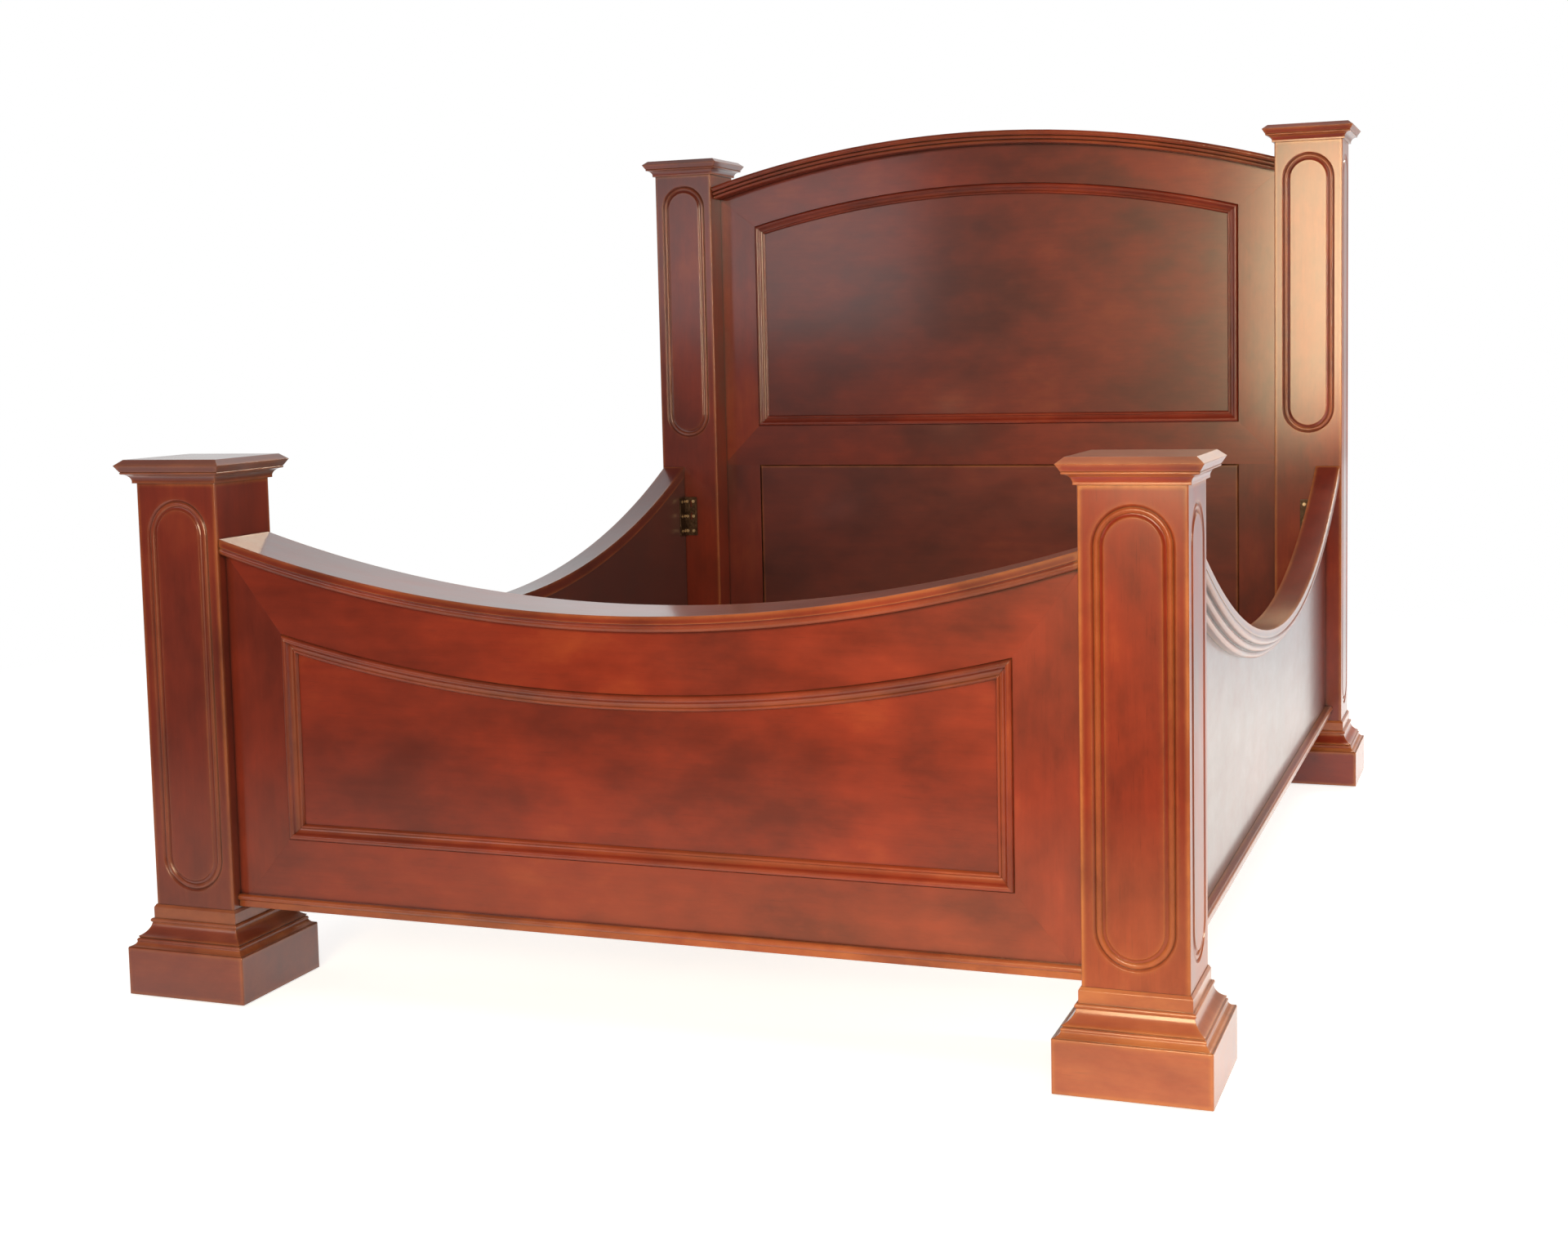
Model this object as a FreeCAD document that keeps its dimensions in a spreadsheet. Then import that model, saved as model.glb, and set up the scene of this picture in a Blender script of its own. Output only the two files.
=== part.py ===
import FreeCAD
import Part
import Sketcher
import math
import os

# Panel bed in stained hardwood: four square posts on plinths, a high panelled headboard with an
# arched crown, a lower footboard with a scooped top, and two scooped side rails that hang between
# the posts. Slats on ledgers carry the mattress.
# Frame: X across the bed, Y towards the headboard, Z up, origin on the floor under the middle.
# All lengths in millimetres.

Vector = FreeCAD.Vector
doc = FreeCAD.newDocument("PanelBed")
sheet = doc.addObject("Spreadsheet::Sheet", "Sizes")

SIZES = [
    # mattress and its room
    ("mattress_wide", "1524"),
    ("mattress_long", "2032"),
    ("mattress_side_gap", "51"),
    ("mattress_end_gap", "7"),
    # posts
    ("post_wide", "155"),
    ("foot_post_tall", "870"),
    ("head_post_tall", "1524"),
    ("rail_set_back", "37"),
    ("post_edge", "2"),
    # plinth block and the glide under it
    ("glide_tall", "3"),
    ("glide_wide", "70"),
    ("plinth_top", "84"),
    ("plinth_out", "37"),
    ("plinth_edge", "2.5"),
    # moulding on the plinth
    ("base_tall", "68"),
    ("base_out", "36"),
    ("base_lip_out", "1"),
    ("base_lip_tall", "5"),
    ("base_collar_out", "4"),
    ("base_bead_out", "6.5"),
    ("base_bead_tall", "7"),
    ("base_bead_bow", "2.4"),
    ("base_flare_out", "24"),
    ("base_flare_tall", "21"),
    ("base_flare_bow", "3.6"),
    ("base_quirk", "3"),
    ("base_quirk_tall", "5.5"),
    ("base_toe_out", "25"),
    ("base_toe_tall", "8"),
    ("base_toe_bow", "2"),
    ("base_cove_bow", "2.2"),
    # cap on each post
    ("cap_lip_out", "5"),
    ("cap_lip_tall", "4"),
    ("cap_cove_out", "17.5"),
    ("cap_cove_tall", "11.5"),
    ("cap_cove_bow", "3"),
    ("cap_bead_tall", "4"),
    ("cap_bead_bow", "1.4"),
    ("cap_fascia_out", "19"),
    ("cap_widest_out", "26"),
    ("cap_fascia_tall", "11"),
    ("cap_top_out", "14"),
    ("cap_top_tall", "9.5"),
    # round-ended bead routed into the post faces
    ("bead_band_wide", "119"),
    ("bead_band", "18.5"),
    ("bead_deep", "3.5"),
    ("bead_quirk", "3.5"),
    ("bead_cove", "6"),
    ("bead_cove_bow", "0.9"),
    ("bead_bow", "2.7"),
    ("foot_bead_low", "179"),
    ("foot_bead_high", "843"),
    ("head_bead_low", "182"),
    ("head_bead_front_low", "840"),
    ("head_bead_high", "1498"),
    # scoop shared by the footboard and the side rails
    ("scoop_radius", "2388"),
    # footboard
    ("foot_end_tall", "777"),
    ("foot_cap_thick", "25"),
    ("foot_cap_fascia", "12.5"),
    ("foot_cap_quirk", "1.6"),
    ("foot_cap_edge_bow", "0.8"),
    ("foot_cap_reed_bow", "3"),
    ("foot_cap_reed_in", "5"),
    ("foot_cap_front_in", "5"),
    ("foot_cap_back_in", "7"),
    ("foot_frame_in", "23"),
    ("foot_frame_thick", "32"),
    ("foot_bottom", "155"),
    ("foot_panel_low", "274"),
    ("foot_stile_wide", "101"),
    ("foot_top_wide", "124"),
    ("foot_back_in", "8"),
    ("foot_back_thick", "18"),
    ("foot_bead_bead_tall", "9.5"),
    ("foot_bead_tall", "21"),
    ("foot_bead_proud", "8.5"),
    ("foot_bead_bow", "3"),
    # headboard
    ("crown_end_tall", "1492"),
    ("crown_radius", "2597"),
    ("crown_top_reed", "12"),
    ("crown_mid_reed", "9"),
    ("crown_low_reed", "9"),
    ("crown_reed_in", "6"),
    ("crown_reed_bow", "3"),
    ("crown_front_in", "10"),
    ("crown_deep", "134"),
    ("head_frame_in", "72"),
    ("head_frame_thick", "38"),
    ("head_top_wide", "125"),
    ("head_stile_wide", "94"),
    ("head_panel_low", "865"),
    ("head_mid_wide", "103"),
    ("head_bottom", "165"),
    ("head_bottom_wide", "135"),
    ("lower_panel_in", "1"),
    ("lower_panel_bevel", "4"),
    # panels and the moulding round them
    ("panel_thick", "12"),
    ("panel_in", "8"),
    ("panel_tongue", "10"),
    ("panel_slack", "0.5"),
    ("moulding_wide", "27"),
    ("moulding_quirk", "1"),
    ("moulding_bead_wide", "11"),
    ("moulding_bead_proud", "2.5"),
    ("moulding_bead_bow", "4.2"),
    ("moulding_cove_wide", "20"),
    ("moulding_cove_deep", "4"),
    ("moulding_cove_bow", "1.6"),
    ("moulding_inner_wide", "25"),
    ("moulding_inner_bow", "1.9"),
    # side rails
    ("rail_end_tall", "761.5"),
    ("rail_bottom", "165"),
    ("rail_thick", "23"),
    ("rail_cap_out", "33"),
    ("rail_cap_fascia", "13"),
    ("rail_cap_quirk", "1.4"),
    ("rail_cap_edge_bow", "0.8"),
    ("rail_cap_reed", "13"),
    ("rail_cap_reed_bow", "3"),
    ("rail_step_reed", "12"),
    ("rail_step_in", "10"),
    ("rail_base_tall", "21"),
    ("rail_base_bead_tall", "9.5"),
    ("rail_base_proud", "15"),
    ("rail_base_bow", "3"),
    # mattress support
    ("ledger_top", "300"),
    ("ledger_tall", "40"),
    ("ledger_wide", "30"),
    ("slat_thick", "20"),
    ("slat_wide", "90"),
    ("slat_count", "13"),
    ("slat_side_gap", "8"),
    ("slat_end_gap", "25"),
    ("slat_seat_gap", "0.3"),
    ("beam_wide", "70"),
    ("beam_tall", "70"),
    ("leg_wide", "60"),
    ("leg_pitch", "620"),
    # angle brackets between posts and rails, with their screws
    ("bracket_tall", "101"),
    ("bracket_leg", "35"),
    ("bracket_thick", "3"),
    ("bracket_low", "580"),
    ("slot_wide", "6"),
    ("slot_tall", "20"),
    ("slot_low", "40"),
    ("slot_high", "73"),
    ("screw_row_low", "12"),
    ("screw_row_pitch", "39"),
    ("screw_column", "9"),
    ("screw_column_gap", "17"),
    ("screw_head_radius", "4"),
    ("screw_head_tall", "1.8"),
    ("screw_shank_radius", "1.9"),
    ("screw_hole_slack", "0.3"),
    ("screw_long", "22"),
    ("pilot_room", "2"),
    # extra reach of cutting outlines past the faces they cut
    ("overcut", "2"),
]

for row, (alias, text) in enumerate(SIZES, start=1):
    sheet.set("A%d" % row, alias)
    sheet.set("B%d" % row, text)
    sheet.setAlias("B%d" % row, alias)
doc.recompute()


class Size:
    """A length that knows its value and the sheet formula behind it."""

    def __init__(self, value, formula):
        self.value = value
        self.formula = formula

    def __add__(self, other):
        return Size(self.value + other.value, "(%s + %s)" % (self.formula, other.formula))

    def __sub__(self, other):
        return Size(self.value - other.value, "(%s - %s)" % (self.formula, other.formula))

    def __mul__(self, factor):
        return Size(self.value * factor, "(%s * %s)" % (self.formula, factor))

    def __truediv__(self, factor):
        return Size(self.value / factor, "(%s / %s)" % (self.formula, factor))

    def __neg__(self):
        return Size(-self.value, "(0 - %s)" % self.formula)


def size(alias):
    """The named length from the sheet."""
    return Size(float(sheet.get(alias)), "Sizes." + alias)


def leg_of(longest, other):
    """The third side of a right triangle: root of longest squared less other squared."""
    value = math.sqrt(longest.value ** 2 - other.value ** 2)
    return Size(value, "sqrt((%s)^2 - (%s)^2)" % (longest.formula, other.formula))


def bow_radius(start, end, bow):
    """Radius of the arc from start to end whose middle stands the bow away from the chord."""
    across = end[0] - start[0]
    along = end[1] - start[1]
    square = "((%s)^2 + (%s)^2) / 4" % (across.formula, along.formula)
    value = ((across.value ** 2 + along.value ** 2) / 4 + bow.value ** 2) / (2 * bow.value)
    return Size(value, "((%s + (%s)^2) / (2 * %s))" % (square, bow.formula, bow.formula))


NONE = Size(0.0, "0")
OUTWARD = 1
INWARD = -1

# ---------------------------------------------------------------- places shared by many pieces

RAIL_IN = size("mattress_wide") / 2 + size("mattress_side_gap")
RAIL_OUT = RAIL_IN + size("rail_thick")
POST_OUT_X = RAIL_OUT + size("rail_set_back")
POST_IN_X = POST_OUT_X - size("post_wide")
POST_X = POST_OUT_X - size("post_wide") / 2
POST_IN_Y = size("mattress_long") / 2 + size("mattress_end_gap")
POST_Y = POST_IN_Y + size("post_wide") / 2
POST_OUT_Y = POST_IN_Y + size("post_wide")
POST_HALF = size("post_wide") / 2
OVER = size("overcut")
# multiple of a piece's width or rise that takes a cutting outline well past it
WELL_PAST = 4
# an edge this far off a face is clear of it
OFF_FACE = 1.0


# ---------------------------------------------------------------- drawing helpers

def bind(sketch, constraint, length):
    """Add a dimension to the sketch and tie it to the sheet."""
    index = sketch.addConstraint(constraint)
    sketch.setExpression("Constraints[%d]" % index, length.formula)


def draw_arc(sketch, start, finish, radius, turn):
    """Add the shorter arc between two points, turning left (1) or right (-1) on the way."""
    chord = finish - start
    normal = Vector(-chord.y, chord.x, 0).normalize()
    rise = math.sqrt(max(radius.value ** 2 - (chord.Length / 2) ** 2, 0))
    centre = (start + finish) * 0.5 + normal * (rise * turn)
    ends = (start, finish)
    if turn < 0:
        ends = (finish, start)
    angles = [math.atan2(end.y - centre.y, end.x - centre.x) for end in ends]
    circle = Part.Circle(centre, Vector(0, 0, 1), radius.value)
    index = sketch.addGeometry(Part.ArcOfCircle(circle, angles[0], angles[1]), False)
    bind(sketch, Sketcher.Constraint("Radius", index, radius.value), radius)
    return index


def draw_loop(sketch, corners):
    """Close a loop through the corners; a corner with a radius and a turn is reached by an arc."""
    starts = []
    ends = []
    for place, corner in enumerate(corners):
        before = corners[place - 1]
        start = Vector(before[0].value, before[1].value, 0)
        finish = Vector(corner[0].value, corner[1].value, 0)
        if len(corner) == 2:
            index = sketch.addGeometry(Part.LineSegment(start, finish), False)
            starts.append((index, 1))
            ends.append((index, 2))
        else:
            index = draw_arc(sketch, start, finish, corner[2], corner[3])
            forward = corner[3] > 0
            starts.append((index, 1 if forward else 2))
            ends.append((index, 2 if forward else 1))
    for place, corner in enumerate(corners):
        end = ends[place]
        follower = starts[(place + 1) % len(corners)]
        sketch.addConstraint(Sketcher.Constraint("Coincident", end[0], end[1], follower[0], follower[1]))
        across = Sketcher.Constraint("DistanceX", -1, 1, end[0], end[1], corner[0].value)
        bind(sketch, across, corner[0])
        along = Sketcher.Constraint("DistanceY", -1, 1, end[0], end[1], corner[1].value)
        bind(sketch, along, corner[1])


def draw_round_ended(sketch, half, bottom, top):
    """Two upright lines joined by half circles, the centres of which lie at bottom and top."""
    up = Vector(0, 0, 1)
    right_foot = Vector(half.value, bottom.value, 0)
    right_head = Vector(half.value, top.value, 0)
    left_head = Vector(-half.value, top.value, 0)
    left_foot = Vector(-half.value, bottom.value, 0)
    sketch.addGeometry(Part.LineSegment(right_foot, right_head), False)
    head = Part.Circle(Vector(0, top.value, 0), up, half.value)
    sketch.addGeometry(Part.ArcOfCircle(head, 0, math.pi), False)
    sketch.addGeometry(Part.LineSegment(left_head, left_foot), False)
    foot = Part.Circle(Vector(0, bottom.value, 0), up, half.value)
    sketch.addGeometry(Part.ArcOfCircle(foot, math.pi, 2 * math.pi), False)
    corners = ((half, top), (-half, top), (-half, bottom), (half, bottom))
    for index, (across, along) in enumerate(corners):
        follower = (index + 1) % len(corners)
        sketch.addConstraint(Sketcher.Constraint("Coincident", index, 2, follower, 1))
        bind(sketch, Sketcher.Constraint("DistanceX", -1, 1, index, 2, across.value), across)
        bind(sketch, Sketcher.Constraint("DistanceY", -1, 1, index, 2, along.value), along)
    bind(sketch, Sketcher.Constraint("DistanceY", -1, 1, 1, 3, top.value), top)
    bind(sketch, Sketcher.Constraint("DistanceY", -1, 1, 3, 3, bottom.value), bottom)


def draw_circle(sketch, across, along, radius):
    """Add a full circle."""
    circle = Part.Circle(Vector(across.value, along.value, 0), Vector(0, 0, 1), radius.value)
    index = sketch.addGeometry(circle, False)
    bind(sketch, Sketcher.Constraint("DistanceX", -1, 1, index, 3, across.value), across)
    bind(sketch, Sketcher.Constraint("DistanceY", -1, 1, index, 3, along.value), along)
    bind(sketch, Sketcher.Constraint("Radius", index, radius.value), radius)


def new_body(name):
    """An empty piece; its label names it."""
    body = doc.addObject("PartDesign::Body", name)
    body.Label = name
    body.AllowCompound = True
    return body


def new_sketch(body, name, role, offset, raised=NONE):
    """A sketch on a plane parallel to one of the body's own planes."""
    plane = [feature for feature in body.Origin.OriginFeatures if feature.Role == role][0]
    sketch = body.newObject("Sketcher::SketchObject", body.Name + "_" + name)
    sketch.AttachmentSupport = (plane, [""])
    sketch.MapMode = "FlatFace"
    sketch.setExpression("AttachmentOffset.Base.y", raised.formula)
    sketch.setExpression("AttachmentOffset.Base.z", offset.formula)
    return sketch


def sketch_loops(body, name, role, start, loops):
    """Closed outlines on the plane at the given place along its axis."""
    offset = -start if role == "XZ_Plane" else start
    sketch = new_sketch(body, name, role, offset)
    for corners in loops:
        draw_loop(sketch, corners)
    return sketch


def extrude(body, kind, sketch, length, backwards):
    """Pad or pocket the sketch by the length."""
    feature = body.newObject(kind, sketch.Name + "_" + kind.split("::")[1].lower())
    feature.Profile = sketch
    feature.setExpression("Length", length.formula)
    feature.Reversed = backwards
    sketch.Visibility = False
    return feature


def slab(body, name, role, start, length, loops):
    """Pad outlines from start towards the positive axis."""
    sketch = sketch_loops(body, name, role, start, loops)
    return extrude(body, "PartDesign::Pad", sketch, length, role == "XZ_Plane")


def cut(body, name, role, start, length, loops):
    """Pocket outlines from start towards the positive axis."""
    sketch = sketch_loops(body, name, role, start, loops)
    return extrude(body, "PartDesign::Pocket", sketch, length, role != "XZ_Plane")


def rectangle(low_a, low_b, high_a, high_b):
    """A rectangle's corners, counter-clockwise."""
    return [(low_a, low_b), (high_a, low_b), (high_a, high_b), (low_a, high_b)]


def square(half):
    """A square round the middle."""
    return rectangle(-half, -half, half, half)


def mirrored(corners):
    """The same outline on the other side of the upright axis."""
    flipped = []
    for corner in corners:
        turned = (-corner[0],) + corner[1:]
        if len(corner) == 4:
            turned = (-corner[0], corner[1], corner[2], -corner[3])
        flipped.append(turned)
    return flipped


def placed(profile, to_point, flip):
    """A profile of (across, deep) corners carried to sketch places; flip turns its arcs over."""
    corners = []
    for corner in profile:
        point = to_point(corner[0], corner[1])
        if len(corner) == 4:
            point = point + (corner[2], corner[3] * flip)
        corners.append(point)
    return corners


turned_bodies = []


def revolve(body, name, role, centre_height, reach, radius, loops):
    """Turn outlines about the level line through the arch's centre, past the reach each way."""
    sketch = new_sketch(body, name, role, NONE, centre_height)
    for corners in loops:
        draw_loop(sketch, corners)
    feature = body.newObject("PartDesign::Revolution", sketch.Name + "_turn")
    feature.Profile = sketch
    feature.ReferenceAxis = (sketch, ["H_Axis"])
    feature.Midplane = True
    ratio = "(%s) / (%s)" % (reach.formula, radius.formula)
    feature.setExpression("Angle", "2 * asin(%s)" % ratio)
    sketch.Visibility = False
    turned_bodies.append(body)
    return feature


def ease_edges(body, radius, wanted):
    """Round the edges of the piece that the test picks."""
    doc.recompute()
    tip = body.Tip
    names = []
    for number, edge in enumerate(tip.Shape.Edges, start=1):
        if wanted(edge):
            names.append("Edge%d" % number)
    feature = body.newObject("PartDesign::Fillet", body.Name + "_eased")
    feature.Base = (tip, names)
    feature.setExpression("Radius", radius.formula)
    return feature


def upright(edge):
    """True for a straight vertical edge."""
    box = edge.BoundBox
    return box.ZLength > box.XLength + box.YLength


def move_to(body, across, along):
    """Stand the piece at its place on the floor plan."""
    body.setExpression("Placement.Base.x", across.formula)
    body.setExpression("Placement.Base.y", along.formula)


# ---------------------------------------------------------------- posts

def bead_profile():
    """Section of the routed bead: quirk, round bead and cove, from the outer edge inwards."""
    band = size("bead_band")
    deep = size("bead_deep")
    quirk_end = (size("bead_quirk"), deep)
    cove_start = (band - size("bead_cove"), deep)
    edge = (band, NONE)
    cove = bow_radius(edge, cove_start, size("bead_cove_bow"))
    bead = bow_radius(cove_start, quirk_end, size("bead_bow"))
    return [
        (NONE, -OVER),
        (band, -OVER),
        edge,
        cove_start + (cove, OUTWARD),
        quirk_end + (bead, INWARD),
        (NONE, NONE),
    ]


def routed_bead(body, name, role, side, low, high):
    """Cut a round-ended bead into a post face; side is the way that the face looks."""
    middle = (size("bead_band_wide") - size("bead_band")) / 2
    bottom = low + size("bead_band_wide") / 2
    top = high - size("bead_band_wide") / 2
    offset = POST_HALF * side
    if role == "XZ_Plane":
        offset = -offset
    path = new_sketch(body, name + "_path", role, offset)
    draw_round_ended(path, middle, bottom, top)
    outer = middle + size("bead_band") / 2
    if role == "XZ_Plane":
        corners = placed(bead_profile(), lambda u, d: (u - outer, (POST_HALF - d) * side), -side)
    else:
        corners = placed(bead_profile(), lambda u, d: ((POST_HALF - d) * side, u - outer), side)
    section = new_sketch(body, name + "_section", "XY_Plane", bottom)
    draw_loop(section, corners)
    feature = body.newObject("PartDesign::SubtractivePipe", body.Name + "_" + name)
    feature.Profile = section
    feature.Spine = (path, [])
    path.Visibility = False
    section.Visibility = False


SCREW_ROWS = 3
SCREW_COLUMNS = 2
SCREW_REACH = size("screw_long") - size("bracket_thick") - size("screw_head_tall")
PILOT_LONG = SCREW_REACH + size("pilot_room")


def screw_places():
    """The screws of one bracket leg: distance from its corner and height."""
    places = []
    for row in range(SCREW_ROWS):
        for column in range(SCREW_COLUMNS):
            out = size("screw_column") + size("screw_column_gap") * column
            height = size("bracket_low") + size("screw_row_low")
            height = height + size("screw_row_pitch") * row
            places.append((out, height))
    return places


def post(corner, side, end, tall, beads):
    """Square shaft with routed beads and pilot holes for its bracket."""
    body = new_body("post_" + corner)
    slab(body, "shaft", "XY_Plane", size("plinth_top"), tall - size("plinth_top"), [square(POST_HALF)])
    ease_edges(body, size("post_edge"), upright)
    for name, role, look, low, high in beads:
        routed_bead(body, name, role, look, low, high)
    pilots = new_sketch(body, "pilots", "XZ_Plane", -POST_HALF * -end)
    radius = size("screw_shank_radius") + size("screw_hole_slack")
    for out, height in screw_places():
        draw_circle(pilots, (RAIL_IN - out - POST_X) * side, height, radius)
    extrude(body, "PartDesign::Pocket", pilots, PILOT_LONG, end < 0)
    move_to(body, POST_X * side, POST_Y * end)


def plinth(corner, side, end):
    """Square block that carries the post."""
    body = new_body("plinth_" + corner)
    half = POST_HALF + size("plinth_out")
    tall = size("plinth_top") - size("glide_tall")
    slab(body, "block", "XY_Plane", size("glide_tall"), tall, [square(half)])
    floor = size("glide_tall").value
    ease_edges(body, size("plinth_edge"), lambda edge: edge.BoundBox.ZMax > floor + OFF_FACE)
    move_to(body, POST_X * side, POST_Y * end)


def square_moulding(body, low, chain, widest):
    """A moulding mitred round a square: a block cut back to the same section from both ways."""
    half = POST_HALF
    tall = chain[-1][1]
    slab(body, "block", "XY_Plane", low, tall, [square(half + widest)])
    far = half + widest + OVER
    region = placed(chain, lambda u, d: (half + u, low + d), 1)
    region = region + [(far, low + tall), (far, low)]
    loops = [region, mirrored(region)]
    for name, role in (("ends", "XZ_Plane"), ("sides", "YZ_Plane")):
        cut(body, name, role, -far, far * 2, loops)


def base_moulding(corner, side, end):
    """Moulding round the foot of the shaft: cove, toe bead, quirk, flare, bead and collar."""
    body = new_body("base_moulding_" + corner)
    toe = (size("base_toe_out"), size("base_toe_tall"))
    quirk = (size("base_toe_out") - size("base_quirk"), toe[1] + size("base_quirk_tall"))
    flare = (size("base_flare_out"), quirk[1] + size("base_quirk"))
    bead_low = (size("base_bead_out"), flare[1] + size("base_flare_tall"))
    bead_high = (size("base_bead_out"), bead_low[1] + size("base_bead_tall"))
    collar_high = (size("base_collar_out"), size("base_tall") - size("base_lip_tall"))
    outer = (size("base_out"), NONE)
    chain = [
        outer,
        toe + (bow_radius(outer, toe, size("base_cove_bow")), INWARD),
        quirk + (bow_radius(toe, quirk, size("base_toe_bow")), OUTWARD),
        flare,
        bead_low + (bow_radius(flare, bead_low, size("base_flare_bow")), INWARD),
        bead_high + (bow_radius(bead_low, bead_high, size("base_bead_bow")), OUTWARD),
        (size("base_collar_out"), bead_high[1]),
        collar_high,
        (size("base_lip_out"), size("base_tall")),
    ]
    square_moulding(body, size("plinth_top"), chain, size("base_out"))
    cut(body, "shaft_hole", "XY_Plane", size("plinth_top"), size("base_tall"), [square(POST_HALF)])
    move_to(body, POST_X * side, POST_Y * end)


def cap_moulding(corner, side, end, low):
    """Cove and bead under the cap board."""
    body = new_body("cap_moulding_" + corner)
    lip = (size("cap_lip_out"), size("cap_lip_tall"))
    cove = (size("cap_cove_out"), lip[1] + size("cap_cove_tall"))
    bead = (size("cap_cove_out"), cove[1] + size("cap_bead_tall"))
    chain = [
        (size("cap_lip_out"), NONE),
        lip,
        cove + (bow_radius(lip, cove, size("cap_cove_bow")), INWARD),
        bead + (bow_radius(cove, bead, size("cap_bead_bow")), OUTWARD),
    ]
    square_moulding(body, low, chain, size("cap_cove_out") + size("cap_bead_bow"))
    move_to(body, POST_X * side, POST_Y * end)


def cap_board(corner, side, end, low):
    """Top board of the post, its fascia leaning out and its upper edge bevelled."""
    body = new_body("cap_board_" + corner)
    chain = [
        (size("cap_fascia_out"), NONE),
        (size("cap_widest_out"), size("cap_fascia_tall")),
        (size("cap_top_out"), size("cap_fascia_tall") + size("cap_top_tall")),
    ]
    square_moulding(body, low, chain, size("cap_widest_out"))
    move_to(body, POST_X * side, POST_Y * end)


CAP_MOULDING_TALL = size("cap_lip_tall") + size("cap_cove_tall") + size("cap_bead_tall")

for label, side, end in (
    ("front_left", -1, -1),
    ("front_right", 1, -1),
    ("rear_left", -1, 1),
    ("rear_right", 1, 1),
):
    if end < 0:
        tall = size("foot_post_tall")
        beads = [
            ("front_bead", "XZ_Plane", -1, size("foot_bead_low"), size("foot_bead_high")),
            ("side_bead", "YZ_Plane", side, size("foot_bead_low"), size("foot_bead_high")),
        ]
    else:
        tall = size("head_post_tall")
        beads = [
            ("front_bead", "XZ_Plane", -1, size("head_bead_front_low"), size("head_bead_high")),
            ("side_bead", "YZ_Plane", side, size("head_bead_low"), size("head_bead_high")),
        ]
    post(label, side, end, tall, beads)
    plinth(label, side, end)
    base_moulding(label, side, end)
    cap_moulding(label, side, end, tall)
    cap_board(label, side, end, tall + CAP_MOULDING_TALL)


# ---------------------------------------------------------------- panel frames and mouldings

class Board:
    """A framed panel: its opening, the arch over it and where its faces lie."""

    def __init__(self, name, front, thick, open_x, post_x, low, arch, outer, centre, hangs):
        self.name = name
        self.front = front
        self.thick = thick
        self.open_x = open_x
        self.post_x = post_x
        self.low = low
        self.arch = arch
        self.outer = outer
        self.centre = centre
        self.hangs = hangs

    def height(self, radius, across):
        """Height of the arc of this radius at the distance from the middle."""
        rise = leg_of(radius, across)
        if self.hangs:
            return self.centre - rise
        return self.centre + rise

    def inward(self, radius, by):
        """The arc's radius once it has moved down towards the panel."""
        if self.hangs:
            return radius + by
        return radius - by

    def turn(self, leftwards):
        """Turn of the arch when drawn right to left (1) or left to right (-1)."""
        if self.hangs:
            return -leftwards
        return leftwards


GROOVE = size("panel_tongue") + size("panel_slack")


def groove_cut(body, board, name, loops):
    """Plough the groove that holds a panel's edge."""
    start = board.front + size("panel_in")
    cut(body, name, "XZ_Plane", start, size("panel_thick"), loops)


def arched_rail(board):
    """Rail over the panel, arched on both edges and mitred into the stiles."""
    body = new_body(board.name + "_top_rail")
    inner = board.height(board.arch, board.open_x)
    outer = board.height(board.outer, board.post_x)
    corners = [
        (board.open_x, inner, board.arch, board.turn(-1)),
        (board.post_x, outer),
        (-board.post_x, outer, board.outer, board.turn(1)),
        (-board.open_x, inner),
    ]
    slab(body, "rail", "XZ_Plane", board.front, board.thick, [corners])
    reach = board.open_x + GROOVE * 2
    low = board.inward(board.arch, OVER)
    high = board.inward(board.arch, -GROOVE)
    strip = [
        (reach, board.height(low, reach), low, board.turn(-1)),
        (reach, board.height(high, reach)),
        (-reach, board.height(high, reach), high, board.turn(1)),
        (-reach, board.height(low, reach)),
    ]
    groove_cut(body, board, "groove", [strip])


def mitred_stile(board, label, side, low_outer):
    """Upright beside the panel, mitred at both ends."""
    body = new_body(board.name + "_" + label + "_stile")
    inner = board.height(board.arch, board.open_x)
    outer = board.height(board.outer, board.post_x)
    corners = [
        (board.open_x, board.low),
        (board.post_x, low_outer),
        (board.post_x, outer),
        (board.open_x, inner),
    ]
    strip = rectangle(
        board.open_x - OVER, board.low - GROOVE * 2, board.open_x + GROOVE, inner + GROOVE * 3
    )
    if side < 0:
        corners = mirrored(corners)
        strip = mirrored(strip)
    slab(body, "stile", "XZ_Plane", board.front, board.thick, [corners])
    groove_cut(body, board, "groove", [strip])


def arched_panel(board):
    """Flat panel with an arched head, its edges in the grooves."""
    body = new_body(board.name + "_panel")
    tongue = size("panel_tongue")
    across = board.open_x + tongue
    arch = board.inward(board.arch, -tongue)
    top = board.height(arch, across)
    corners = [
        (-across, board.low - tongue),
        (across, board.low - tongue),
        (across, top),
        (-across, top, arch, board.turn(1)),
    ]
    slab(body, "panel", "XZ_Plane", board.front + size("panel_in"), size("panel_thick"), [corners])


def moulding_profile():
    """Section of the panel moulding: (distance in from the frame, depth behind its face)."""
    back = size("panel_in")
    quirk = (size("moulding_quirk"), NONE)
    bead = (size("moulding_bead_wide"), -size("moulding_bead_proud"))
    cove = (size("moulding_cove_wide"), size("moulding_cove_deep"))
    inner = (size("moulding_inner_wide"), size("moulding_cove_deep"))
    return [
        (NONE, back),
        (NONE, size("moulding_quirk")),
        quirk,
        bead + (bow_radius(quirk, bead, size("moulding_bead_bow")), 1),
        cove + (bow_radius(bead, cove, size("moulding_cove_bow")), -1),
        inner + (bow_radius(cove, inner, size("moulding_inner_bow")), 1),
        (size("moulding_wide"), back),
    ]


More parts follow.
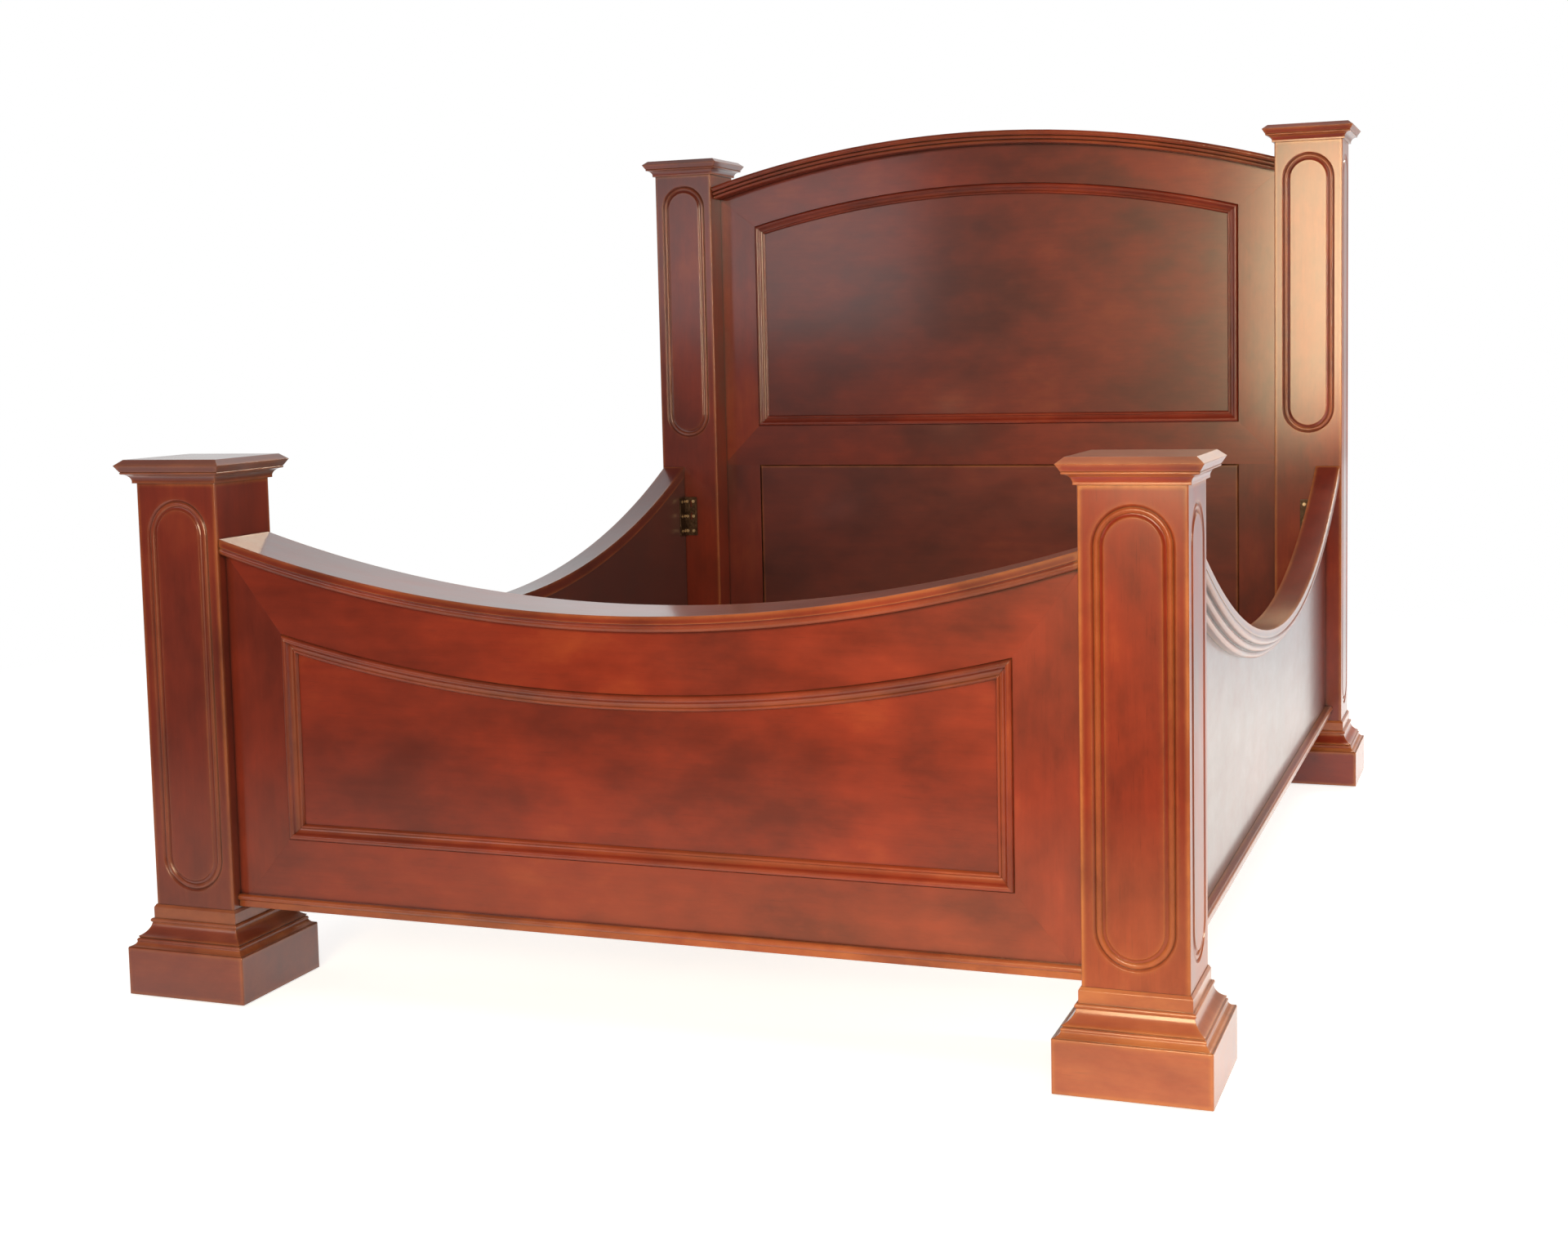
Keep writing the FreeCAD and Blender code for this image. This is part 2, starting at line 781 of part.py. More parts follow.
def upright_moulding(board, label, side):
    """Moulding down one side of the panel, mitred at both ends."""
    body = new_body(board.name + "_" + label + "_moulding")
    wide = size("moulding_wide")
    inner_x = board.open_x - wide
    outer_top = board.height(board.arch, board.open_x)
    inner_top = board.height(board.inward(board.arch, wide), inner_x)
    low = board.low
    tall = outer_top - low + wide * 2
    front = board.front
    corners = placed(moulding_profile(), lambda u, d: ((board.open_x - u) * side, front + d), -side)
    slab(body, "length", "XY_Plane", low, tall, [corners])
    past = (board.open_x + wide, outer_top + (outer_top - inner_top))
    before = (inner_x - wide, inner_top - (outer_top - inner_top))
    above = [
        before,
        past,
        (board.open_x + wide, outer_top + wide * WELL_PAST),
        (inner_x - wide, outer_top + wide * WELL_PAST),
    ]
    below = [
        (board.open_x + wide, low - wide),
        (inner_x - wide, low + wide * 2),
        (inner_x - wide, low - wide * 2),
        (board.open_x + wide, low - wide * 2),
    ]
    if side < 0:
        above = mirrored(above)
        below = mirrored(below)
    start = front - size("panel_in") * 2
    cut(body, "mitres", "XZ_Plane", start, size("panel_in") * WELL_PAST, [above, below])


def bottom_moulding(board):
    """Moulding along the bottom of the panel, mitred at both ends."""
    body = new_body(board.name + "_bottom_moulding")
    wide = size("moulding_wide")
    front = board.front
    corners = placed(moulding_profile(), lambda u, d: (front + d, board.low + u), -1)
    slab(body, "length", "YZ_Plane", -board.open_x, board.open_x * 2, [corners])
    corner = [
        (board.open_x + wide, board.low - wide),
        (board.open_x + wide, board.low + wide * 2),
        (board.open_x - wide * 2, board.low + wide * 2),
    ]
    start = front - size("panel_in") * 2
    cut(body, "mitres", "XZ_Plane", start, size("panel_in") * WELL_PAST, [corner, mirrored(corner)])


def arched_moulding(board):
    """Moulding under the arched rail, turned about the arch's centre and mitred."""
    body = new_body(board.name + "_top_moulding")
    wide = size("moulding_wide")
    front = board.front
    sign = -1 if board.hangs else 1

    def to_point(across, deep):
        return (front + deep, board.inward(board.arch, across) * sign)

    corners = placed(moulding_profile(), to_point, 1)
    inner_x = board.open_x - wide
    shortest = board.inward(board.arch, wide)
    if board.hangs:
        shortest = board.arch
    revolve(body, "length", "YZ_Plane", board.centre, board.open_x + wide, shortest, [corners])
    outer_top = board.height(board.arch, board.open_x)
    inner_top = board.height(board.inward(board.arch, wide), inner_x)
    rise = outer_top - inner_top
    end = [
        (inner_x - wide, inner_top - rise),
        (inner_x - wide, inner_top - rise * WELL_PAST),
        (board.open_x + wide * WELL_PAST, inner_top - rise * WELL_PAST),
        (board.open_x + wide * WELL_PAST, outer_top + rise * WELL_PAST),
    ]
    start = front - size("panel_in") * 2
    cut(body, "mitres", "XZ_Plane", start, size("panel_in") * WELL_PAST, [end, mirrored(end)])


def trim_ends(body, reach, low, high, start, deep):
    """Saw an arched length off square at the posts."""
    far = reach + size("post_wide") * 2
    end = rectangle(reach, low, far, high)
    cut(body, "ends", "XZ_Plane", start, deep, [end, mirrored(end)])


# ---------------------------------------------------------------- footboard

FOOT_FRONT = -POST_OUT_Y + size("foot_frame_in")
SCOOP = size("scoop_radius")
FOOT_CENTRE = size("foot_end_tall") + leg_of(SCOOP, POST_IN_X)
FOOT = Board(
    "footboard",
    FOOT_FRONT,
    size("foot_frame_thick"),
    POST_IN_X - size("foot_stile_wide"),
    POST_IN_X,
    size("foot_panel_low"),
    SCOOP + size("foot_top_wide"),
    SCOOP + size("foot_cap_thick"),
    FOOT_CENTRE,
    True,
)
FOOT_BACK = -POST_IN_Y - size("foot_back_in")


def foot_cap():
    """Scooped cap rail over frame and back board: fascia, quirk and reed on both long edges."""
    body = new_body("footboard_cap_rail")
    front = -POST_OUT_Y + size("foot_cap_front_in")
    back = -POST_IN_Y - size("foot_cap_back_in")
    fascia = -SCOOP - size("foot_cap_fascia")
    reed_top = fascia - size("foot_cap_quirk")
    low = -SCOOP - size("foot_cap_thick")
    quirk = size("foot_cap_quirk")
    reed = size("foot_cap_reed_in")
    edge = quirk
    front_top = (front + edge, -SCOOP)
    front_low = (front, -SCOOP - edge)
    back_low = (back, -SCOOP - edge)
    back_top = (back - edge, -SCOOP)
    front_reed = ((front + quirk, reed_top), (front + reed, low))
    back_reed = ((back - reed, low), (back - quirk, reed_top))
    ease = bow_radius(front_top, front_low, size("foot_cap_edge_bow"))
    round_reed = bow_radius(front_reed[0], front_reed[1], size("foot_cap_reed_bow"))
    corners = [
        front_top,
        front_low + (ease, 1),
        (front, fascia),
        (front + quirk, fascia),
        front_reed[0],
        front_reed[1] + (round_reed, 1),
        back_reed[0],
        back_reed[1] + (round_reed, 1),
        (back - quirk, fascia),
        (back, fascia),
        back_low,
        back_top + (ease, 1),
    ]
    revolve(body, "length", "YZ_Plane", FOOT_CENTRE, POST_OUT_X, SCOOP, [corners])
    low_cut = size("foot_bottom")
    high_cut = size("foot_post_tall") + size("post_wide")
    trim_ends(body, POST_IN_X, low_cut, high_cut, -POST_OUT_Y, size("post_wide"))


def foot_bottom_rail():
    """Rail under the footboard panel, mitred into the stiles."""
    body = new_body("footboard_bottom_rail")
    corners = [
        (-FOOT.post_x, size("foot_bottom")),
        (FOOT.post_x, size("foot_bottom")),
        (FOOT.open_x, FOOT.low),
        (-FOOT.open_x, FOOT.low),
    ]
    slab(body, "rail", "XZ_Plane", FOOT.front, FOOT.thick, [corners])
    reach = FOOT.open_x + GROOVE * 2
    strip = rectangle(-reach, FOOT.low - GROOVE, reach, FOOT.low + OVER)
    groove_cut(body, FOOT, "groove", [strip])


def foot_back_board():
    """Plain board that closes the footboard towards the mattress."""
    body = new_body("footboard_back_board")
    top = FOOT.height(FOOT.outer, POST_IN_X)
    corners = [
        (-POST_IN_X, size("foot_bottom")),
        (POST_IN_X, size("foot_bottom")),
        (POST_IN_X, top),
        (-POST_IN_X, top, FOOT.outer, FOOT.turn(1)),
    ]
    start = FOOT_BACK - size("foot_back_thick")
    slab(body, "board", "XZ_Plane", start, size("foot_back_thick"), [corners])


def strip_profile(tall, bead_tall, proud, bow):
    """Section of a straight base strip: plain fascia below, bead above; (out, up) corners."""
    bead_low = (proud, tall - bead_tall)
    bead_high = (proud - bow, tall)
    radius = bow_radius(bead_low, bead_high, bow)
    return [
        (NONE, NONE),
        (proud - bow, NONE),
        (proud - bow, bead_low[1]),
        bead_low,
        bead_high + (radius, 1),
        (NONE, tall),
    ]


def foot_bottom_bead():
    """Strip along the foot of the footboard's face."""
    body = new_body("footboard_bottom_bead")
    profile = strip_profile(
        size("foot_bead_tall"), size("foot_bead_bead_tall"), size("foot_bead_proud"), size("foot_bead_bow")
    )
    corners = placed(profile, lambda u, d: (FOOT.front - u, size("foot_bottom") + d), -1)
    slab(body, "strip", "YZ_Plane", -POST_IN_X, POST_IN_X * 2, [corners])


arched_rail(FOOT)
mitred_stile(FOOT, "left", -1, size("foot_bottom"))
mitred_stile(FOOT, "right", 1, size("foot_bottom"))
foot_bottom_rail()
arched_panel(FOOT)
arched_moulding(FOOT)
bottom_moulding(FOOT)
upright_moulding(FOOT, "left", -1)
upright_moulding(FOOT, "right", 1)
foot_cap()
foot_back_board()
foot_bottom_bead()

# ---------------------------------------------------------------- headboard

HEAD_FRONT = POST_IN_Y + size("head_frame_in")
CROWN_THICK = size("crown_top_reed") + size("crown_mid_reed") + size("crown_low_reed")
HEAD_CENTRE = size("crown_end_tall") - leg_of(size("crown_radius"), POST_IN_X)
HEAD = Board(
    "headboard",
    HEAD_FRONT,
    size("head_frame_thick"),
    POST_IN_X - size("head_stile_wide"),
    POST_IN_X,
    size("head_panel_low"),
    size("crown_radius") - size("head_top_wide"),
    size("crown_radius") - CROWN_THICK,
    HEAD_CENTRE,
    False,
)
LOWER_TOP = size("head_panel_low") - size("head_mid_wide")
LOWER_LOW = size("head_bottom") + size("head_bottom_wide")


def crown():
    """Arched crown over the headboard, three reeds stepping back under each long edge."""
    body = new_body("headboard_crown")
    top = size("crown_radius")
    first = top - size("crown_top_reed")
    second = first - size("crown_mid_reed")
    third = second - size("crown_low_reed")
    step = size("crown_reed_in")
    bow = size("crown_reed_bow")
    front = POST_IN_Y + size("crown_front_in") + bow
    back = front - bow + size("crown_deep") - bow
    edges = []
    for upper, lower, inset in ((top, first, NONE), (first, second, step), (second, third, step * 2)):
        edges.append((upper, lower, inset))
    corners = []
    for upper, lower, inset in edges:
        start = (front + inset, upper)
        finish = (front + inset, lower)
        corners.append(start)
        corners.append(finish + (bow_radius(start, finish, bow), 1))
    for upper, lower, inset in reversed(edges):
        start = (back - inset, lower)
        finish = (back - inset, upper)
        corners.append(start)
        corners.append(finish + (bow_radius(start, finish, bow), 1))
    revolve(body, "length", "YZ_Plane", HEAD_CENTRE, POST_OUT_X, third, [corners])
    low_cut = LOWER_TOP
    high_cut = size("head_post_tall") + size("post_wide")
    trim_ends(body, POST_IN_X, low_cut, high_cut, POST_IN_Y, size("post_wide"))


def middle_rail():
    """Rail between the upper and the lower panel, mitred into the upper stiles."""
    body = new_body("headboard_middle_rail")
    mitre_low = size("head_panel_low") - size("head_stile_wide")
    corners = [
        (-POST_IN_X, LOWER_TOP),
        (POST_IN_X, LOWER_TOP),
        (POST_IN_X, mitre_low),
        (HEAD.open_x, HEAD.low),
        (-HEAD.open_x, HEAD.low),
        (-POST_IN_X, mitre_low),
    ]
    slab(body, "rail", "XZ_Plane", HEAD.front, HEAD.thick, [corners])
    reach = HEAD.open_x + GROOVE * 2
    upper = rectangle(-reach, HEAD.low - GROOVE, reach, HEAD.low + OVER)
    inner = HEAD.open_x + GROOVE
    lower = rectangle(-inner, LOWER_TOP - OVER, inner, LOWER_TOP + GROOVE)
    groove_cut(body, HEAD, "groove", [upper, lower])


def lower_stile(label, side):
    """Upright beside the lower panel."""
    body = new_body("headboard_lower_" + label + "_stile")
    corners = rectangle(HEAD.open_x, size("head_bottom"), POST_IN_X, LOWER_TOP)
    strip = rectangle(
        HEAD.open_x - OVER, LOWER_LOW - GROOVE, HEAD.open_x + GROOVE, LOWER_TOP + OVER
    )
    if side < 0:
        corners = mirrored(corners)
        strip = mirrored(strip)
    slab(body, "stile", "XZ_Plane", HEAD.front, HEAD.thick, [corners])
    groove_cut(body, HEAD, "groove", [strip])


def head_bottom_rail():
    """Rail under the lower panel."""
    body = new_body("headboard_bottom_rail")
    corners = rectangle(-HEAD.open_x, size("head_bottom"), HEAD.open_x, LOWER_LOW)
    slab(body, "rail", "XZ_Plane", HEAD.front, HEAD.thick, [corners])
    strip = rectangle(-HEAD.post_x, LOWER_LOW - GROOVE, HEAD.post_x, LOWER_LOW + OVER)
    groove_cut(body, HEAD, "groove", [strip])


def lower_panel():
    """Thick panel nearly flush with its frame, bevelled round its face, with tongues in the grooves."""
    body = new_body("headboard_lower_panel")
    face = HEAD.front + size("lower_panel_in")
    thick = size("panel_in") + size("panel_thick") - size("lower_panel_in")
    field = rectangle(-HEAD.open_x, LOWER_LOW, HEAD.open_x, LOWER_TOP)
    slab(body, "field", "XZ_Plane", face, thick, [field])
    doc.recompute()
    tip = body.Tip
    face_y = face.value
    names = []
    for number, edge in enumerate(tip.Shape.Edges, start=1):
        if edge.BoundBox.YMax < face_y + OFF_FACE:
            names.append("Edge%d" % number)
    bevel = body.newObject("PartDesign::Chamfer", "lower_panel_bevel")
    bevel.Base = (tip, names)
    bevel.setExpression("Size", size("lower_panel_bevel").formula)
    tongue = size("panel_tongue")
    edge = rectangle(
        -HEAD.open_x - tongue, LOWER_LOW - tongue, HEAD.open_x + tongue, LOWER_TOP + tongue
    )
    slab(body, "tongue", "XZ_Plane", HEAD.front + size("panel_in"), size("panel_thick"), [edge])


arched_rail(HEAD)
mitred_stile(HEAD, "left", -1, size("head_panel_low") - size("head_stile_wide"))
mitred_stile(HEAD, "right", 1, size("head_panel_low") - size("head_stile_wide"))
middle_rail()
arched_panel(HEAD)
arched_moulding(HEAD)
bottom_moulding(HEAD)
upright_moulding(HEAD, "left", -1)
upright_moulding(HEAD, "right", 1)
crown()
lower_stile("left", -1)
lower_stile("right", 1)
head_bottom_rail()
lower_panel()

# ---------------------------------------------------------------- side rails

RAIL_CENTRE = size("rail_end_tall") + leg_of(SCOOP, POST_IN_Y)
RAIL_CAP_THICK = size("rail_cap_fascia") + size("rail_cap_reed")


def rail_board(label, side):
    """Side rail with a scooped top edge and pilot holes for its brackets."""
    body = new_body("rail_" + label)
    arch = SCOOP + RAIL_CAP_THICK
    top = RAIL_CENTRE - leg_of(arch, POST_IN_Y)
    corners = [
        (-POST_IN_Y, size("rail_bottom")),
        (POST_IN_Y, size("rail_bottom")),
        (POST_IN_Y, top),
        (-POST_IN_Y, top, arch, -1),
    ]
    start = RAIL_IN if side > 0 else -RAIL_OUT
    slab(body, "board", "YZ_Plane", start, size("rail_thick"), [corners])
    pilots = new_sketch(body, "pilots", "YZ_Plane", RAIL_IN * side)
    radius = size("screw_shank_radius") + size("screw_hole_slack")
    for out, height in screw_places():
        for end in (-1, 1):
            draw_circle(pilots, (POST_IN_Y - out) * end, height, radius)
    extrude(body, "PartDesign::Pocket", pilots, PILOT_LONG, side > 0)


def rail_cap(label, side):
    """Moulded cap of a side rail: fascia and reed, then two reeds stepping in on its underside."""
    body = new_body("rail_cap_" + label)
    out = RAIL_OUT + size("rail_cap_out")
    quirk = size("rail_cap_quirk")
    bow = size("rail_cap_reed_bow")
    fascia = -SCOOP - size("rail_cap_fascia")
    reed_top = (out - quirk, fascia - quirk)
    reed_low = (out - bow, -SCOOP - RAIL_CAP_THICK)
    step_one = (out - size("rail_step_in"), reed_low[1])
    step_one_low = (step_one[0] - quirk, step_one[1] - size("rail_step_reed"))
    step_two = (step_one[0] - size("rail_step_in"), step_one_low[1])
    step_two_low = (step_two[0] - quirk, step_two[1] - size("rail_step_reed"))
    edge_top = (out - quirk, -SCOOP)
    edge_low = (out, -SCOOP - quirk)
    corners = [
        (RAIL_IN, -SCOOP),
        (RAIL_IN, -SCOOP - RAIL_CAP_THICK),
        (RAIL_OUT, -SCOOP - RAIL_CAP_THICK),
        (RAIL_OUT, step_two_low[1]),
        step_two_low,
        step_two + (bow_radius(step_two_low, step_two, bow), 1),
        step_one_low,
        step_one + (bow_radius(step_one_low, step_one, bow), 1),
        reed_low,
        reed_top + (bow_radius(reed_low, reed_top, bow), 1),
        (out - quirk, fascia),
        (out, fascia),
        edge_low,
        edge_top + (bow_radius(edge_low, edge_top, size("rail_cap_edge_bow")), 1),
    ]
    if side < 0:
        corners = mirrored(corners)
    revolve(body, "length", "XZ_Plane", RAIL_CENTRE, POST_OUT_Y, SCOOP, [corners])
    far = POST_OUT_Y + size("post_wide")
    end = rectangle(POST_IN_Y, size("rail_bottom"), far, size("head_post_tall"))
    cut(body, "ends", "YZ_Plane", -POST_OUT_X, POST_OUT_X * 2, [end, mirrored(end)])


def rail_base(label, side):
    """Strip along the foot of the side rail's outer face."""
    body = new_body("rail_base_moulding_" + label)
    profile = strip_profile(
        size("rail_base_tall"), size("rail_base_bead_tall"), size("rail_base_proud"), size("rail_base_bow")
    )

    def to_point(out, up):
        return ((RAIL_OUT + out) * side, size("rail_bottom") + up)

    corners = placed(profile, to_point, side)
    slab(body, "strip", "XZ_Plane", -POST_IN_Y, POST_IN_Y * 2, [corners])


def ledger(label, side):
    """Batten on the rail's inner face that carries the slats."""
    body = new_body("ledger_" + label)
    low = size("ledger_top") - size("ledger_tall")
    inner = RAIL_IN - size("ledger_wide")
    corners = rectangle(inner, low, RAIL_IN, size("ledger_top"))
    if side < 0:
        corners = mirrored(corners)
    slab(body, "batten", "XZ_Plane", -POST_IN_Y, POST_IN_Y * 2, [corners])


for label, side in (("left", -1), ("right", 1)):
    rail_board(label, side)
    rail_cap(label, side)
    rail_base(label, side)
    ledger(label, side)


# ---------------------------------------------------------------- mattress support

def centre_beam():
    """Beam under the middle of the slats, from footboard to headboard."""
    body = new_body("centre_beam")
    half = size("beam_wide") / 2
    low = size("ledger_top") - size("beam_tall")
    corners = rectangle(-half, low, half, size("ledger_top"))
    slab(body, "beam", "XZ_Plane", FOOT_BACK, HEAD_FRONT - FOOT_BACK, [corners])


def centre_legs():
    """Three legs under the centre beam."""
    body = new_body("centre_legs")
    half = size("leg_wide") / 2
    loops = []
    for place in (-1, 0, 1):
        middle = size("leg_pitch") * place
        loops.append(rectangle(-half, middle - half, half, middle + half))
    slab(body, "legs", "XY_Plane", NONE, size("ledger_top") - size("beam_tall"), loops)


def slats():
    """Row of loose slats, one solid each, across ledgers and beam."""
    body = new_body("slats")
    half_long = RAIL_IN - size("slat_side_gap")
    count = int(size("slat_count").value)
    first = POST_IN_Y - size("slat_end_gap") - size("slat_wide") / 2
    loops = []
    for number in range(count):
        share = 2 * number / (count - 1) - 1
        middle = first * share
        low = middle - size("slat_wide") / 2
        loops.append(rectangle(-half_long, low, half_long, low + size("slat_wide")))
    start = size("ledger_top") + size("slat_seat_gap")
    slab(body, "rows", "XY_Plane", start, size("slat_thick"), loops)


def glides():
    """Pads under the four plinths."""
    body = new_body("plinth_glides")
    half = size("glide_wide") / 2
    loops = []
    for side in (-1, 1):
        for end in (-1, 1):
            across = POST_X * side
            along = POST_Y * end
            loops.append(rectangle(across - half, along - half, across + half, along + half))
    slab(body, "pads", "XY_Plane", NONE, size("glide_tall"), loops)


# ---------------------------------------------------------------- brackets and screws

def rail_brackets():
    """Four steel angles: one leg on the post, one on the rail, slotted and drilled."""
    body = new_body("rail_brackets")
    thick = size("bracket_thick")
    leg = size("bracket_leg")
    angle = [
        (RAIL_IN, POST_IN_Y),
        (RAIL_IN - leg, POST_IN_Y),
        (RAIL_IN - leg, POST_IN_Y - thick),
        (RAIL_IN - thick, POST_IN_Y - thick),
        (RAIL_IN - thick, POST_IN_Y - leg),
        (RAIL_IN, POST_IN_Y - leg),
    ]
    front = [(across, -along) for across, along in angle]
    loops = [angle, mirrored(angle), front, mirrored(front)]
    slab(body, "angles", "XY_Plane", size("bracket_low"), size("bracket_tall"), loops)
    radius = size("screw_shank_radius") + size("screw_hole_slack")
    slots = []
    half = size("slot_wide") / 2
    middle = RAIL_IN - (leg + thick) / 2
    for low in (size("slot_low"), size("slot_high")):
        bottom = size("bracket_low") + low
        slot = rectangle(middle - half, bottom, middle + half, bottom + size("slot_tall"))
        slots.append(slot)
        slots.append(mirrored(slot))
    cut(body, "slots", "XZ_Plane", -POST_IN_Y, POST_IN_Y * 2, slots)
    post_holes = new_sketch(body, "post_holes", "XZ_Plane", POST_IN_Y)
    rail_holes = new_sketch(body, "rail_holes", "YZ_Plane", -RAIL_IN)
    for out, height in screw_places():
        for way in (-1, 1):
            draw_circle(post_holes, (RAIL_IN - out) * way, height, radius)
            draw_circle(rail_holes, (POST_IN_Y - out) * way, height, radius)
    extrude(body, "PartDesign::Pocket", post_holes, POST_IN_Y * 2, False)
    extrude(body, "PartDesign::Pocket", rail_holes, RAIL_IN * 2, True)


def bracket_screws():
    """Screws of all four brackets: flat round heads and plain shanks, one solid each."""
    body = new_body("bracket_screws")
    head = size("screw_head_tall")
    thick = size("bracket_thick")
    parts = (
        ("heads", size("screw_head_radius"), head),
        ("shanks", size("screw_shank_radius"), size("screw_long")),
    )
    for where, end in (("foot", -1), ("head", 1)):
        seat = (POST_IN_Y - thick - head) * end
        for name, radius, long in parts:
            sketch = new_sketch(body, name + "_" + where, "XZ_Plane", -seat)
            for out, height in screw_places():
                for side in (-1, 1):
                    draw_circle(sketch, (RAIL_IN - out) * side, height, radius)
            extrude(body, "PartDesign::Pad", sketch, long, end > 0)
    for where, side in (("left", -1), ("right", 1)):
        seat = (RAIL_IN - thick - head) * side
        for name, radius, long in parts:
            sketch = new_sketch(body, name + "_" + where, "YZ_Plane", seat)
            for out, height in screw_places():
                for end in (-1, 1):
                    draw_circle(sketch, (POST_IN_Y - out) * end, height, radius)
            extrude(body, "PartDesign::Pad", sketch, long, side < 0)


centre_beam()
centre_legs()
slats()
glides()
rail_brackets()
bracket_screws()

# ---------------------------------------------------------------- build, test and write

def with_spline_faces(body):
    """The turned piece again, its ring faces written as spline surfaces up to the slanted ends."""
    name = body.Label
    body.Label = name + "_turned"
    shape = body.Shape.toNurbs()
    if shape.ShapeType != "Solid":
        shape = Part.Solid(shape.Shells[0])
    piece = doc.addObject("Part::Feature", name + "_piece")
    piece.Label = name
    piece.Shape = shape
    piece.Placement = body.Placement
    return piece


def faults_of(objects):
    """Labels of objects that failed."""
    return [item.Label for item in objects if "Invalid" in item.State or "Error" in item.State]


doc.recompute()
faults = faults_of(doc.Objects)
if faults:
    raise RuntimeError("faulty: " + ", ".join(faults))
pieces = []
for item in doc.Objects:
    if item.TypeId != "PartDesign::Body":
        continue
    if item in turned_bodies:
        pieces.append(with_spline_faces(item))
    else:
        pieces.append(item)
for piece in pieces:
    if piece.Shape.isNull() or not piece.Shape.isValid() or piece.Shape.Volume <= 0:
        faults.append(piece.Label)
faults = faults + faults_of(pieces)
if faults:
    raise RuntimeError("faulty: " + ", ".join(faults))
os.makedirs("parts", exist_ok=True)
for piece in pieces:
    piece.Shape.exportStep("parts/%s.step" % piece.Label)
    print("%s: %d solids, %.1f mm3" % (piece.Label, len(piece.Shape.Solids), piece.Shape.Volume))
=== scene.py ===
import math

import bpy
from mathutils import Matrix, Vector

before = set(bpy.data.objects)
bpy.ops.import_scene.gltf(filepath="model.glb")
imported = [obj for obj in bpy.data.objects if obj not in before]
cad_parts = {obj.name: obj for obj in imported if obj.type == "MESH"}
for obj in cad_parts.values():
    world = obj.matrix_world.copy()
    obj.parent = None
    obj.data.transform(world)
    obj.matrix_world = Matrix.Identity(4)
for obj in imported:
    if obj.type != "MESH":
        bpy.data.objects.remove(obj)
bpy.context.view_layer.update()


# Posts. Four square hardwood shafts with a round-ended bead routed into each show face.
# They are sprayed with a red-brown mahogany stain, wiped so that it stays cloudy, darkened with
# glaze and painted shade in the grooves, rubbed back on the edges with a painted highlight there,
# and lacquered to a soft gloss.

def screen(red, green, blue):
    """A colour read on a screen from 0 to 255, as the linear value that a shader takes: each part
    is divided by 255, raised by 0.055, divided by 1.055 and taken to the power 2.4."""
    parts = [((part / 255 + 0.055) / 1.055) ** 2.4 for part in (red, green, blue)]
    return (*parts, 1.0)


def add(tree, kind, sockets=None, **settings):
    """A shader node with its settings, each socket given a value or joined to another's output."""
    node = tree.nodes.new("ShaderNode" + kind)
    for setting, value in settings.items():
        setattr(node, setting, value)
    for socket, value in (sockets or {}).items():
        if isinstance(value, bpy.types.NodeSocket):
            tree.links.new(value, node.inputs[socket])
        else:
            node.inputs[socket].default_value = value
    return node


def new_finish(name):
    """A new material with its node tree, its shader and the place in the piece, in metres."""
    material = bpy.data.materials.new(name)
    material.use_nodes = True
    tree = material.node_tree
    return material, tree, tree.nodes["Principled BSDF"], add(tree, "TexCoord").outputs["Object"]


def grain_noise(tree, point, grain, seed, stretch, scale,
                detail=3.0, roughness=0.55, distortion=0.0):
    """Noise from 0 to 1 whose blotches are drawn out along the grain by one over stretch."""
    size = [1.0, 1.0, 1.0]
    size["XYZ".index(grain)] = stretch
    placed = add(tree, "Mapping", {"Vector": point, "Location": seed, "Scale": size})
    noise = add(tree, "TexNoise", {"Vector": placed.outputs[0], "Scale": scale, "Detail": detail,
                                   "Roughness": roughness, "Distortion": distortion})
    return noise.outputs[0]


def number(tree, operation, first, second=0.0, third=0.0):
    """One step of arithmetic on numbers."""
    return add(tree, "Math", {0: first, 1: second, 2: third}, operation=operation).outputs[0]


def between(tree, value, low, high, to_low=0.0, to_high=1.0):
    """value's range from low to high laid evenly over to_low to to_high, and held at their ends."""
    node = add(tree, "MapRange", {"Value": value, "From Min": low, "From Max": high,
                                  "To Min": to_low, "To Max": to_high})
    return node.outputs[0]


def mixed(tree, factor, first, second, blend="MIX"):
    """Two colours mixed by factor."""
    node = add(tree, "Mix", {0: factor, 6: first, 7: second}, data_type="RGBA", blend_type=blend)
    return node.outputs[2]


def shaded(tree, colour, shade):
    """colour times a grey of the level shade."""
    grey = add(tree, "CombineColor", {0: shade, 1: shade, 2: shade}).outputs[0]
    return mixed(tree, 1.0, colour, grey, "MULTIPLY")


def colour_ramp(tree, value, stops):
    """The colours of stops, a list of (place, colour), blended along value."""
    ramp = add(tree, "ValToRGB", {0: value})
    steps = ramp.color_ramp.elements
    while len(steps) < len(stops):
        steps.new(0.5)
    for step, (place, colour) in zip(steps, stops):
        step.position = place
        step.color = colour
    return ramp.outputs[0]


STAIN_DEEP = screen(76, 28, 22)
STAIN_BROWN = screen(118, 42, 27)
STAIN_RED = screen(160, 54, 28)
STAIN_WARM = screen(198, 86, 38)
STAIN_GLAZE_AND_SHADE = screen(40, 16, 14)
STAIN_RUBBED_AND_HIGHLIT = screen(222, 144, 82)
PAINTED_SHADE_GREY = screen(70, 54, 56)
PAINTED_SHEEN_TINT = screen(212, 150, 106)
STAIN_STEPS = [(0.0, STAIN_DEEP), (0.34, STAIN_BROWN), (0.64, STAIN_RED), (1.0, STAIN_WARM)]

